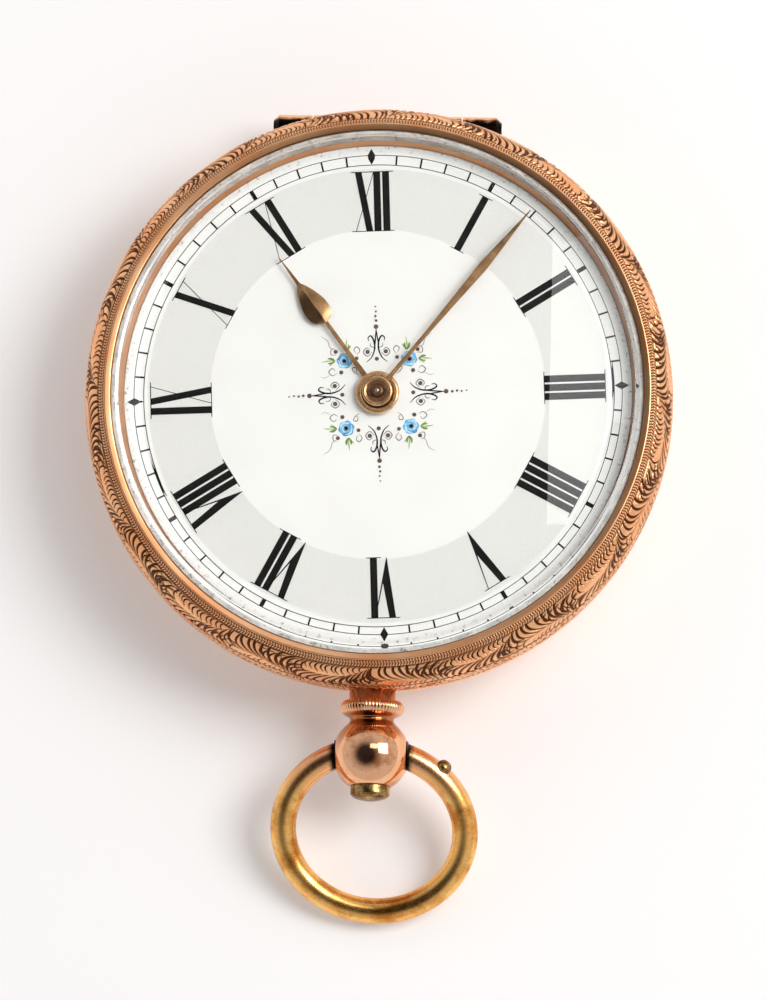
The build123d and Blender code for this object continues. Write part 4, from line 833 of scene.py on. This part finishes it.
def bezel():
    """The polished ring round the crystal, the milled border and the engraved slope."""
    knots = [
        (RING_IN_R + 0.01, RING_TOP - 0.14), (RING_IN_R + 0.07, RING_TOP - 0.06),
        (RING_R - 0.14, RING_TOP - 0.01), (RING_R - 0.05, RING_TOP - 0.02),
        (RING_R, RING_TOP - 0.09), (MILLED_R, GLASS_LOW - 0.14),
        (CASE_R - 0.34, BAND_TOP + 1.35), (CASE_R + 0.03, BAND_TOP + 0.5),
        (CASE_R - 0.02, BAND_TOP + 0.01),
    ]
    line, normal, even = curve_through(knots, ROW_STEP)
    ring_end, milled_end = np.interp([RING_R + 0.02, MILLED_R], line[:, 0], even)
    strip = Strip(even[-1], len(even))
    engrave(strip, milled_end + 0.05, even[-1] - 0.03, 12, 5)
    field = (even > milled_end + 0.02).astype(float)[:, None]
    cut = np.maximum(strip.cut * field, milled_rows(even, ring_end, milled_end))
    # painted shade: the cut mask is full against the crystal, where the bezel's inner wall lies in
    # shade; a fine line is cut round the polished ring and holds tarnish
    cut[even < 0.05] = 1.0
    cut = np.maximum(cut, fine_line(even, ring_end))
    tail = [
        (CASE_R - 0.15, BAND_TOP), (DIAL_R + 0.04, BAND_TOP), (DIAL_R + 0.04, DIAL_TOP - 0.04),
        (BEZEL_WALL_R, DIAL_TOP - 0.04), (BEZEL_WALL_R, GLASS_LOW - 0.02),
        (RING_IN_R, GLASS_LOW - 0.02), (RING_IN_R, RING_TOP - 0.18),
        (RING_IN_R + 0.01, RING_TOP - 0.14),
    ]
    mesh = cut_ring("bezel_engraved", line, normal, cut, tail)
    obj = new_object("bezel_engraved", mesh, ENGRAVED, "case")
    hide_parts("bezel")


def band():
    """The engraved skin of the case middle."""
    knots = [
        (CASE_R - 0.02, BAND_TOP - 0.01), (CASE_R + SKIN - 0.02, BAND_TOP - 0.12),
        (CASE_R + SKIN, BAND_TOP - 1.2), (CASE_R + SKIN - 0.02, BAND_LOW + 0.9),
        (CASE_R - 0.18, BAND_LOW + 0.3), (CASE_R - 0.42, BAND_LOW + 0.02),
    ]
    line, normal, even = curve_through(knots, ROW_STEP)
    strip = Strip(even[-1], len(even))
    engrave(strip, 0.05, even[-1] * 0.5, 13, 11)
    engrave(strip, even[-1] * 0.5, even[-1] - 0.05, 12, 17)
    tail = [(CASE_R - 0.6, BAND_LOW + 0.03), (CASE_R - 0.6, BAND_TOP - 0.01), tuple(line[0])]
    mesh = cut_ring("band_engraving", line, normal, strip.cut, tail)
    obj = new_object("band_engraving", mesh, ENGRAVED, "case")


# ---------- crystal
def crystal():
    """Flat in the middle, with a wide shallow bevel and a steep polished facet at its edge."""
    outline = rounded(
        [
            (0.0, GLASS_TOP), (GLASS_FLAT_R, GLASS_TOP), (GLASS_FACET_R, GLASS_TOP - 0.2),
            (GLASS_R, GLASS_LOW + 0.08), (GLASS_R, GLASS_LOW), (0.0, GLASS_LOW),
        ],
        0.05, 3, closed=False,
    )
    mesh = lathe_mesh("crystal_bevelled", outline[::-1], 360, closed=False)
    obj = new_object("crystal_bevelled", mesh, GLASS, "case")
    obj.modifiers.new("edges", "EDGE_SPLIT").split_angle = radians(30)
    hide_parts("crystal")


def cement():
    """The bead of old white cement that shows under the edge of the crystal."""
    low_z, high_z = DIAL_TOP + 0.02, GLASS_LOW - 0.015
    outline = [
        (CEMENT_IN_R, low_z), (BEZEL_WALL_R - 0.01, low_z), (BEZEL_WALL_R - 0.01, high_z - 0.02),
        (RING_IN_R - 0.06, high_z - 0.02), (RING_IN_R - 0.06, high_z), (CEMENT_IN_R + 0.1, high_z),
    ]
    mesh = lathe_mesh("crystal_cement", rounded(outline, 0.03, 2), 256)
    obj = new_object("crystal_cement", mesh, CEMENT, "case")


# ---------- dial
class Print:
    """Flat painted shapes that stand a hair above the enamel."""

    def __init__(self, name, material, lift=0.0):
        self.name = name
        self.material = material
        self.high_z = DIAL_TOP + lift + PRINT_T
        self.low_z = DIAL_TOP + lift - PRINT_SUNK
        self.points = []
        self.faces = []

    def shape(self, outline):
        """A flat patch with its edges carried down into the enamel."""
        start = len(self.points)
        count = len(outline)
        self.points += [(x, y, self.high_z) for x, y in outline]
        self.points += [(x, y, self.low_z) for x, y in outline]
        self.faces.append(tuple(range(start, start + count)))
        for n in range(count):
            m = (n + 1) % count
            self.faces.append((start + n, start + count + n, start + count + m, start + m))

    def dot(self, x, y, radius, waves=0, depth=0.0, phase=0.0):
        """A round touch of the brush, or one with a waved edge."""
        count = 40 if waves else 20
        outline = []
        for n in range(count):
            a = 2 * pi * n / count
            r = radius * (1 + depth * cos(waves * a + phase))
            outline.append((x + r * cos(a), y + r * sin(a)))
        self.shape(outline)

    def line(self, points, width):
        """A brush line through a few points, thicker in the middle."""
        path = spline(points, 8)
        half = width / 2 * (0.3 + 0.7 * np.sin(pi * np.linspace(0, 1, len(path))))
        offset = sideways(path) * half[:, None]
        left, right = path + offset, path - offset
        for n in range(len(path) - 1):
            self.shape([tuple(p) for p in (left[n], right[n], right[n + 1], left[n + 1])])

    def ring(self, radius, width):
        """A thin printed circle."""
        count = 360
        start = len(self.points)
        inner, outer = radius - width / 2, radius + width / 2
        section = (
            (inner, self.low_z), (inner, self.high_z), (outer, self.high_z), (outer, self.low_z)
        )
        for r, z in section:
            for n in range(count):
                a = 2 * pi * n / count
                self.points.append((r * cos(a), r * sin(a), z))
        for row in range(3):
            a, b = start + row * count, start + (row + 1) * count
            for n in range(count):
                m = (n + 1) % count
                self.faces.append((a + n, b + n, b + m, a + m))

    def build(self):
        mesh = mesh_of(self.name, self.points, self.faces)
        turn_mesh(mesh, Matrix.Rotation(radians(DIAL_TURN), 4, "Z"))
        obj = new_object(self.name, mesh, self.material, "case", smooth=False)


def clock(x, y, hour):
    """From a numeral's own frame (x to its right, y outward from the middle) to the dial."""
    a = radians(30 * hour)
    return (x * cos(a) + y * sin(a), -x * sin(a) + y * cos(a))


def strokes(letter, x):
    """Outlines of one letter whose left edge is at x, its foot at 0, and the reach of its ends."""
    h = NUMERAL_H
    if letter == "I":
        ends = (x, x + STEM_W)
        return [[(x, h), (x + STEM_W, h), (x + STEM_W, 0), (x, 0)]], ends, ends
    if letter == "V":
        notch = (x + 0.83, h - 2.38)
        thick = [(x, h), (x + 0.45, h), notch, (x + 0.57, 0), (x + 0.53, 0)]
        thin = [(x + 1.37, h), (x + 1.37 + HAIR_W, h), (x + 0.57, 0), notch]
        return [thick, thin], (x, x + LETTER_W["V"]), None
    thick = [(x, h), (x + 0.46, h), (x + 1.16, 0), (x + 0.70, 0)]
    thin = [(x + 1.25, h), (x + 1.25 + HAIR_W, h), (x + 0.02, 0), (x - 0.03, 0)]
    return [thick, thin], (x, x + LETTER_W["X"]), (x - 0.03, x + 1.16)


def numeral(ink, hour, text):
    """One Roman numeral with its serif lines, its foot towards the dial's middle."""
    def lay(outline):
        ink.shape([clock(px, NUMERAL_IN_R + py, hour) for px, py in outline])

    x = -(sum(ADVANCE[letter] for letter in text[:-1]) + LETTER_W[text[-1]]) / 2
    tops, feet = [], []
    for letter in text:
        body, top, foot = strokes(letter, x)
        for outline in body:
            lay(outline)
        tops.append(top)
        if foot:
            feet.append(foot)
        x += ADVANCE[letter] + (0.08 if text == "IX" and letter == "I" else 0.0)
    for ends, y in ((tops, NUMERAL_H), (feet, 0.0)):
        if ends:
            a = min(e[0] for e in ends) - BAR_REACH
            b = max(e[1] for e in ends) + BAR_REACH
            lay([(a, y - 0.03), (a, y + 0.03), (b, y + 0.03), (b, y - 0.03)])


def minute_track(ink):
    """Two circles, with a stroke at each minute or a lozenge at each quarter."""
    ink.ring(TRACK_OUT_R, HAIR_W)
    ink.ring(TRACK_IN_R, HAIR_W)
    for minute in range(60):
        hour = minute / 5
        if minute % 15 == 0:
            lozenge = [(0, 0.5), (0.27, 0), (0, -0.5), (-0.27, 0)]
            ink.shape([clock(x, TRACK_OUT_R - 0.02 + y, hour) for x, y in lozenge])
            continue
        half = 0.14 if minute % 5 == 0 else 0.06
        tick = [
            (-half, TRACK_IN_R), (-half, TRACK_OUT_R), (half, TRACK_OUT_R), (half, TRACK_IN_R)
        ]
        ink.shape([clock(x, y, hour) for x, y in tick])


def painted_leaf(on, place):
    """A leaf of green and lime strokes; place takes (along, aside) to the dial."""
    for layer, width, points in (
        (on.green, 0.16, ((0.0, 0.0), (0.25, 0.16), (0.5, 0.18))),
        (on.green, 0.14, ((0.0, 0.0), (0.25, -0.14), (0.48, -0.14))),
        (on.lime, 0.11, ((0.05, 0.02), (0.45, 0.02), (0.9, -0.04))),
        (on.lime, 0.10, ((0.1, -0.02), (0.3, -0.24), (0.42, -0.3))),
    ):
        layer.line([place(a, b) for a, b in points], width)


def flower(on, sx, sy):
    """A blue flower with its leaves, buds and curls, in the quarter that the signs pick."""
    def at(x, y):
        return (sx * x, sy * y)

    on.blue.dot(*at(2.2, 2.35), 0.53, 6, 0.06, 0.4 * sx + sy)
    on.brown.dot(*at(2.22, 2.33), 0.15)
    on.heart.dot(*at(2.22, 2.33), 0.1)
    for x, y, radius in ((1.38, 2.5, 0.13), (2.45, 1.55, 0.14), (2.8, 3.0, 0.14)):
        on.brown.dot(*at(x, y), radius)
    painted_leaf(on, lambda a, b: at(2.85 + a, 2.35 + b))
    painted_leaf(on, lambda a, b: at(2.05 + b, 3.0 + a))
    for layer, width, points in (
        (on.pale, 0.13, ((1.85, 2.15), (1.9, 2.65), (2.3, 2.78))),
        (on.pale, 0.16, ((2.0, 2.0), (2.45, 1.98), (2.62, 2.4))),
        (on.pale, 0.10, ((2.05, 2.5), (2.3, 2.6), (2.48, 2.4), (2.35, 2.12))),
        (on.grey, 0.05, ((2.95, 3.15), (3.2, 3.35), (3.35, 3.8), (3.8, 4.1))),
        (on.grey, 0.07, ((2.75, 2.8), (3.1, 2.8), (3.1, 3.15), (2.85, 3.2))),
        (on.grey, 0.08, ((1.35, 2.75), (1.15, 3.05), (1.35, 3.3), (1.55, 3.1), (1.4, 2.85))),
        (on.grey, 0.08, ((2.75, 1.5), (3.05, 1.35), (3.3, 1.6), (3.05, 1.85), (2.85, 1.65))),
        (on.grey, 0.03, ((3.2, 1.4), (3.6, 1.2), (3.9, 1.3))),
        (on.ink, 0.05, ((1.3, 1.35), (1.55, 1.5), (1.7, 1.8), (1.45, 1.85), (1.4, 1.6), (1.6, 1.5))),
    ):
        layer.line([at(x, y) for x, y in points], width)


def arabesque(on, hour):
    """A black lyre of strokes with grey curls and brown dots that points to an hour."""
    for side in (-1, 1):
        for layer, width, points in (
            (on.ink, 0.115, (
                (0.72, 2.2), (0.35, 2.55), (0.14, 3.1), (0.16, 3.65), (0.36, 4.02), (0.56, 3.9),
                (0.52, 3.66),
            )),
            (on.grey, 0.08, ((0.3, 2.9), (0.62, 2.62), (0.9, 2.9), (0.66, 3.2), (0.42, 3.02))),
            (on.ink, 0.05, ((0.12, 3.2), (0.4, 3.3), (0.42, 3.55))),
        ):
            layer.line([clock(side * x, y, hour) for x, y in points], width)
        on.brown.dot(*clock(side * 0.62, 2.92, hour), 0.15)
    for width, points in (
        (0.09, ((-0.12, 3.2), (-0.05, 3.9), (0.0, 4.55))),
        (0.08, ((0.16, 3.3), (0.07, 3.95), (0.0, 4.55))),
    ):
        on.ink.line([clock(x, y, hour) for x, y in points], width)
    on.brown.dot(*clock(0.0, 2.42, hour), 0.14)
    on.brown.dot(*clock(0.0, 4.66, hour), 0.16)
    for n, y in enumerate((5.08, 5.4, 5.72, 6.06)):
        on.brown.dot(*clock(0.02 * (-1) ** n, y, hour), 0.095 - 0.013 * n)


def ornament():
    """Four blue flowers and four arabesques round the middle, painted in layers."""
    on = SimpleNamespace(
        ink=Print("arabesques", INK, 0.001),
        brown=Print("painted_dots", BROWN_PAINT, 0.010),
        grey=Print("painted_curls", GREY_PAINT, 0.001),
        blue=Print("painted_petals", BLUE_PAINT, 0.004),
        pale=Print("painted_petal_lights", PALE_BLUE_PAINT, 0.008),
        green=Print("painted_leaves", GREEN_PAINT, 0.006),
        lime=Print("painted_leaf_lights", LIME_PAINT, 0.002),
        heart=Print("painted_flower_hearts", INK, 0.014),
    )
    for sx in (-1, 1):
        for sy in (-1, 1):
            flower(on, sx, sy)
    for hour in (0, 3, 6, 9):
        arabesque(on, hour)
    for layer in vars(on).values():
        layer.build()


def dial():
    outline = rounded(
        [
            (DIAL_HOLE_R, DIAL_TOP), (DIAL_R, DIAL_TOP),
            (DIAL_R, DIAL_LOW), (DIAL_HOLE_R, DIAL_LOW),
        ],
        0.08, 4,
    )
    mesh = lathe_mesh("dial_enamelled", outline[::-1], 256)
    obj = new_object("dial_enamelled", mesh, ENAMEL, "case")
    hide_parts("dial")
    numerals = Print("dial_numerals", INK)
    for hour, text in enumerate(NUMERALS):
        numeral(numerals, hour, text)
    numerals.build()
    track = Print("minute_track", INK)
    minute_track(track)
    track.build()
    ornament()


# ---------- hands
def ridged_blade(name, profile, z_low, z_high, angle, body):
    """A hand with a roof-shaped section from (distance, half width) stations."""
    points, faces = [], []
    for y, half in profile:
        lift = min(1.0, half / 0.3)
        ridge = z_low + (z_high - z_low) * (0.45 + 0.55 * lift)
        points += [(-half, y, z_low + 0.05), (-half * 0.86, y, z_low + 0.09), (0, y, ridge),
                   (half * 0.86, y, z_low + 0.09), (half, y, z_low + 0.05), (0, y, z_low)]
    for n in range(len(profile) - 1):
        a, b = 6 * n, 6 * (n + 1)
        for k in range(6):
            m = (k + 1) % 6
            faces.append((a + k, b + k, b + m, a + m))
    faces.append(tuple(range(6)))
    faces.append(tuple(range(len(points) - 1, len(points) - 7, -1)))
    mesh = mesh_of(name, points, faces)
    turn_mesh(mesh, Matrix.Rotation(radians(DIAL_TURN - angle), 4, "Z"))
    mesh.set_sharp_from_angle(angle=radians(12))
    return new_object(name, mesh, GILT, body)


def lathe_piece(name, outline, material, body, bevel=0.03):
    """A small turned piece from its closed outline."""
    mesh = lathe_mesh(name, rounded(outline, bevel, 3), 128)
    obj = new_object(name, mesh, material, body)


def hour_hand():
    """A pear-shaped leaf on a slim neck, with a stepped boss."""
    base, top = low("hour_hand").z, high("hour_hand").z
    leaf_low, leaf_high, steps = 6.05, 9.3, 12
    stations = [(0.9, 0.19), (3.5, 0.15), (5.9, 0.14)]
    for n in range(steps + 1):
        t = n / steps
        half = 0.14 + 0.74 * sin(pi * t ** 0.62) ** 0.8
        stations.append((leaf_low + (leaf_high - leaf_low) * t, half))
    stations += [(9.6, 0.125), (10.5, 0.085), (11.65, 0.02)]
    hour = ridged_blade("hour_hand_pear", stations, base, top, HOUR_ANGLE, "hour_wheel")
    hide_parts("hour_hand")
    boss = [
        (0.77, base), (1.48, base), (1.48, top - 0.08), (1.36, top), (1.12, top),
        (1.05, top - 0.05), (0.77, top - 0.05),
    ]
    lathe_piece("hour_hand_boss", boss, BOSS_GILT, "hour_wheel")


def minute_hand():
    """A long lozenge, with a boss round its browned collet."""
    base, top = low("minute_hand").z, high("minute_hand").z
    stations = [
        (0.6, 0.17), (2.0, 0.15), (5.0, 0.14), (8.0, 0.22), (11.2, 0.325), (13.5, 0.2),
        (16.25, 0.03),
    ]
    minute = ridged_blade(
        "minute_hand_lozenge", stations, base, top, MINUTE_ANGLE, "centre_wheel"
    )
    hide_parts("minute_hand")
    boss = [
        (0.76, base), (1.04, base), (1.04, top - 0.06), (0.97, top + 0.01),
        (0.85, top + 0.01), (0.79, top - 0.04), (0.76, top - 0.04),
    ]
    lathe_piece("minute_hand_boss", boss, BOSS_GILT, "centre_wheel")
    collet = [(PIPE_R, base), (0.755, base), (0.755, top - 0.06), (PIPE_R, top - 0.06)]
    lathe_piece("minute_hand_collet", collet, BROWNED, "centre_wheel")


def centre():
    """The browned cap over the setting arbor's end, and the bright pin in it."""
    top, tip = high("minute_hand").z, ARBOR_TIP
    arbor_r = 0.305
    cap_r = arbor_r + 0.08
    cap = [
        (0.0, tip + 0.005), (arbor_r, tip + 0.005), (arbor_r, top + 0.005),
        (cap_r, top + 0.005), (cap_r, tip), (arbor_r, tip + 0.04), (0.0, tip + 0.04),
    ]
    lathe_piece("centre_cap", cap, BROWNED, "centre_wheel", bevel=0.02)
    pin = [
        (0.0, tip + 0.03), (0.13, tip + 0.03), (0.13, tip + 0.07), (0.07, tip + 0.11),
        (0.0, tip + 0.12),
    ]
    lathe_piece("centre_pin", pin, STEEL, "centre_wheel")


# ---------- pendant, button and bow
def pendant_outline(collar_y, collar_end):
    """The vase's section as (radius, distance from the case's middle), with its bore."""
    outline = [
        (BORE_R, NECK_IN_Y), (NECK_R, NECK_IN_Y), (NECK_R, collar_y - 0.05),
        (NECK_R + 0.2, collar_y),
    ]
    # the barrel of the collar
    for n in range(9):
        t = n / 8
        radius = COLLAR_R - 0.24 + 0.20 * sin(pi * t) - 0.06 * t
        outline.append((radius, collar_y + 0.05 + (COLLAR_L - 0.1) * t))
    # the hollow waist
    for widen, along in (
        (0.1, 0.04), (-0.03, 0.14), (-0.09, 0.26), (-0.06, 0.4), (0.06, 0.57), (0.2, 0.7)
    ):
        outline.append((NECK_R + widen, collar_end + along))
    # the ball, from the waist to its mouth
    start, last = asin(0.73), pi - asin(MOUTH_R / BALL_R)
    for n in range(33):
        a = start + (last - start) * n / 32
        outline.append((BALL_R * sin(a), BALL_Y - BALL_R * cos(a)))
    mouth_y = BALL_Y + sqrt(BALL_R ** 2 - MOUTH_R ** 2)
    well_y = BUTTON_TIP_Y - BUTTON_L - BUTTON_TRAVEL - 0.05
    return outline + [
        (MOUTH_R - 0.04, mouth_y - 0.12), (MOUTH_R - 0.06, well_y), (BORE_R, well_y)
    ]


def reed(mesh, start, end):
    """Raises the collar's reeds, between two places along the turned shape."""
    points = np.zeros(len(mesh.vertices) * 3, np.float32)
    mesh.vertices.foreach_get("co", points)
    points = points.reshape(-1, 3) / MM
    angle = np.arctan2(points[:, 1], points[:, 0])
    radius = np.hypot(points[:, 0], points[:, 1])
    along = points[:, 2]
    reeded = (along > start) & (along < end) & (radius > COLLAR_R - 0.25)
    grow = np.where(reeded, 0.07 * np.abs(np.sin(REEDS / 2 * angle)), 0.0)
    points[:, 0] += grow * np.cos(angle)
    points[:, 1] += grow * np.sin(angle)
    mesh.vertices.foreach_set("co", (points * MM).ravel())


def pendant():
    """A turned vase: neck, reeded collar, hollow waist and the ball that the bow pivots in."""
    collar_y = CASE_R + NECK_L
    collar_end = collar_y + COLLAR_L
    mesh = lathe_mesh("pendant_turned", pendant_outline(collar_y, collar_end), 288)
    reed(mesh, collar_y + 0.04, collar_end - 0.04)
    along_y(mesh, 0, 0, PENDANT_Z)
    obj = new_object("pendant_turned", mesh, PENDANT_GOLD, "case")
    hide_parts("pendant")


def push_button():
    """The domed button that works the lock spring, on its long stem."""
    tip = BUTTON_TIP_Y
    head = tip - BUTTON_L
    outline = [
        (0.0, tip), (0.6, tip - 0.06), (1.0, tip - 0.17), (1.22, tip - 0.3),
        (BUTTON_R, tip - 0.45), (BUTTON_R, head), (STEM_R, head), (STEM_R, BUTTON_IN_Y),
        (0.0, BUTTON_IN_Y),
    ]
    outline = rounded(outline, 0.04, 3, closed=False)[::-1]
    mesh = lathe_mesh("push_button_domed", outline, 96, closed=False)
    along_y(mesh, 0, 0, PENDANT_Z)
    obj = new_object("push_button_domed", mesh, BUTTON_BRASS, "push_button")
    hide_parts("push_button")


def bow_path(steps):
    """The middle line of the bow's wire in its own plane, the pivot at the origin, and its droop."""
    wire = high("bow").x - BOW_HALF_W
    level = BOW_PIVOT.y - low("bow").y - wire
    rise = BOW_PIVOT.z - wire
    reach = hypot(level, rise)
    end_x = BALL_R - 0.5
    half_l = reach / (1 + sqrt(1 - (end_x / BOW_HALF_W) ** 2))
    end = acos(end_x / BOW_HALF_W)
    path = []
    for n in range(steps + 1):
        a = end - (pi + 2 * end) * n / steps
        x = BOW_HALF_W * cos(a) + BOW_SKEW * sin(pi * n / steps)
        path.append((x, half_l - reach + half_l * sin(a)))
    return np.array(path), wire, atan2(rise, level)


def bow_wire(path, side, wire):
    """Points of round wire along a path in its own plane, its ends cupped to the ball."""
    ring = np.linspace(0, 2 * pi, 48, endpoint=False)
    x, y = (
        path[:, k][:, None] + side[:, k][:, None] * wire * np.cos(ring) for k in (0, 1)
    )
    z = wire * np.sin(ring) + np.zeros((len(path), 1))
    points = np.stack([x, y, z], axis=-1)
    ends = []
    for row in (0, -1):
        middle = np.array([path[row][0], path[row][1], 0.0])
        ends.append((middle + (points[row] - middle) * 0.02)[None])
    points = np.concatenate([ends[0], points, ends[1]], axis=0)
    away = np.linalg.norm(points, axis=2)
    points *= np.maximum(1, (BALL_R + BOW_GAP) / np.maximum(away, 1e-6))[:, :, None]
    return points


def bow_stud(path, side, wire, place):
    """The domed head of the stud on the right shoulder."""
    n = int((len(path) - 1) * BOW_STUD_AT)
    out = Vector((-side[n][0], -side[n][1], 0))
    if out.x < 0:
        out = -out
    axis = (out + Vector((0, 0, 0.4))).normalized()
    outline = [
        (0.0, 0.42), (0.22, 0.38), (0.42, 0.26), (0.52, 0.06), (0.52, -0.12), (0.36, -0.3),
        (0.0, -0.3),
    ]
    outline = rounded(outline, 0.06, 2, closed=False)[::-1]
    head = lathe_mesh("bow_stud_head", outline, 48, closed=False)
    spot = Vector((path[n][0], path[n][1], 0)) + axis * (wire + 0.02)
    turn = axis.to_track_quat("Z", "Y").to_matrix().to_4x4()
    turn_mesh(head, place @ Matrix.Translation(spot) @ turn)
    stud = new_object("bow_stud_head", head, BUTTON_BRASS, "bow")
    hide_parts("bow_stud")


def bow():
    """The drawn wire bow, drooped to the level that the case lies on, with its stud."""
    path, wire, droop = bow_path(220)
    side = sideways(path)
    side[0], side[-1] = (0, 1), (0, -1)
    place = Matrix.Translation(BOW_PIVOT) @ Matrix.Rotation(droop, 4, "X")
    mesh = grid_mesh("bow_drawn", bow_wire(path, side, wire)[::-1])
    obj = new_object("bow_drawn", turn_mesh(mesh, place), BRASS, "bow")
    obj.modifiers.new("edges", "EDGE_SPLIT").split_angle = radians(50)
    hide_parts("bow")
    bow_stud(path, side, wire, place)


# ---------- stage
def camera():
    """Far off and nearly overhead, framed on the open watch's case and bow."""
    data = bpy.data.cameras.new("camera")
    data.sensor_width = FILM
    data.lens = FILM * CAMERA_DISTANCE / VIEW_HEIGHT
    data.clip_start = 0.01
    data.clip_end = 20.0
    obj = linked("camera", data)
    x, y = sin(radians(CAMERA_SWING)), -sin(radians(CAMERA_TILT))
    back = Vector((x, y, sqrt(1 - x * x - y * y)))
    roll = radians(CAMERA_ROLL)
    up = Vector((-sin(roll), cos(roll), 0))
    right = up.cross(back).normalized()
    up = back.cross(right)
    turn = Matrix((right, up, back)).transposed().to_4x4()
    obj.matrix_world = Matrix.Translation((CAMERA_TARGET + back * CAMERA_DISTANCE) * MM) @ turn
    bpy.context.scene.camera = obj


def area_light(name, place, aim, width, height, power, colour=(1, 1, 1)):
    """A rectangular lamp that faces the point it aims at."""
    data = bpy.data.lights.new(name, "AREA")
    data.shape = "RECTANGLE"
    data.size = width * MM
    data.size_y = height * MM
    data.energy = power
    data.color = colour
    obj = linked(name, data)
    back = (Vector(place) - Vector(aim)).normalized()
    right = Vector((0, 1, 0)).cross(back).normalized()
    turn = Matrix((right, back.cross(right), back)).transposed().to_4x4()
    obj.matrix_world = Matrix.Translation(Vector(place) * MM) @ turn


def lamps():
    """A broad key lamp on the right, and a small window that the crystal mirrors."""
    area_light("key", KEY_AT, (0, 0, 5), KEY_SIZE, KEY_SIZE, KEY_POWER, KEY_COLOUR)
    area_light("window", WINDOW_AT, (*WINDOW_AT[:2], 0), *WINDOW_SIZE, WINDOW_POWER)


def floor():
    """White paper: plain paint, with the rest of the white seen by the camera alone."""
    material, tree, shader = node_material("white_paper")
    cloud = noise(tree, coordinates(tree), 0.02, 3.0)
    paper = ramp(tree, cloud, [(0.3, (0.915, 0.905, 0.905)), (0.7, (0.94, 0.93, 0.93))])
    tree.links.new(paper, shader.inputs["Base Color"])
    shader.inputs["Roughness"].default_value = 0.9
    shader.inputs["Specular IOR Level"].default_value = 0.1
    glow = add(tree, "ShaderNodeEmission")
    glow.inputs["Color"].default_value = (1.0, 1.0, 1.0, 1.0)
    path = add(tree, "ShaderNodeLightPath")
    seen = math_node(
        tree, "MAXIMUM", path.outputs["Is Camera Ray"], path.outputs["Is Glossy Ray"]
    )
    seen = math_node(tree, "MAXIMUM", seen, path.outputs["Is Transmission Ray"])
    tree.links.new(math_node(tree, "MULTIPLY", seen, FLOOR_GLOW), glow.inputs["Strength"])
    both = add(tree, "ShaderNodeAddShader")
    tree.links.new(shader.outputs["BSDF"], both.inputs[0])
    tree.links.new(glow.outputs["Emission"], both.inputs[1])
    tree.links.new(both.outputs["Shader"], tree.nodes["Material Output"].inputs["Surface"])
    corners = [
        (x * FLOOR_HALF, y * FLOOR_HALF, FLOOR_Z) for x, y in ((-1, -1), (1, -1), (1, 1), (-1, 1))
    ]
    obj = linked("floor", mesh_of("floor", corners, [(0, 1, 2, 3)]))
    obj.data.materials.append(material)


def world():
    """A white studio with one dark part, overhead and to the left, where the camera stands."""
    sky = bpy.data.worlds.new("studio")
    bpy.context.scene.world = sky
    sky.use_nodes = True
    tree = sky.node_tree
    background = tree.nodes["Background"]
    place = add(tree, "ShaderNodeTexCoord").outputs["Generated"]
    dark = tuple(Vector(DARK_SIDE).normalized())
    near = vector_node(tree, "DOT_PRODUCT", "Value", place, dark)
    colour = ramp(
        tree, near,
        [
            (0.0, (1.0, 0.98, 0.97)), (0.55, (0.96, 0.95, 0.95)), (0.76, (0.66, 0.65, 0.65)),
            (0.87, (0.22, 0.21, 0.21)), (0.92, (0.055, 0.05, 0.05)), (1.0, (0.045, 0.04, 0.04)),
        ],
    )
    tree.links.new(colour, background.inputs["Color"])
    background.inputs["Strength"].default_value = WORLD_LEVEL


dress_cad()
bezel()
band()
crystal()
cement()
dial()
hour_hand()
minute_hand()
centre()
pendant()
push_button()
bow()
camera()
floor()
world()
lamps()

bpy.context.scene.view_settings.view_transform = "Standard"
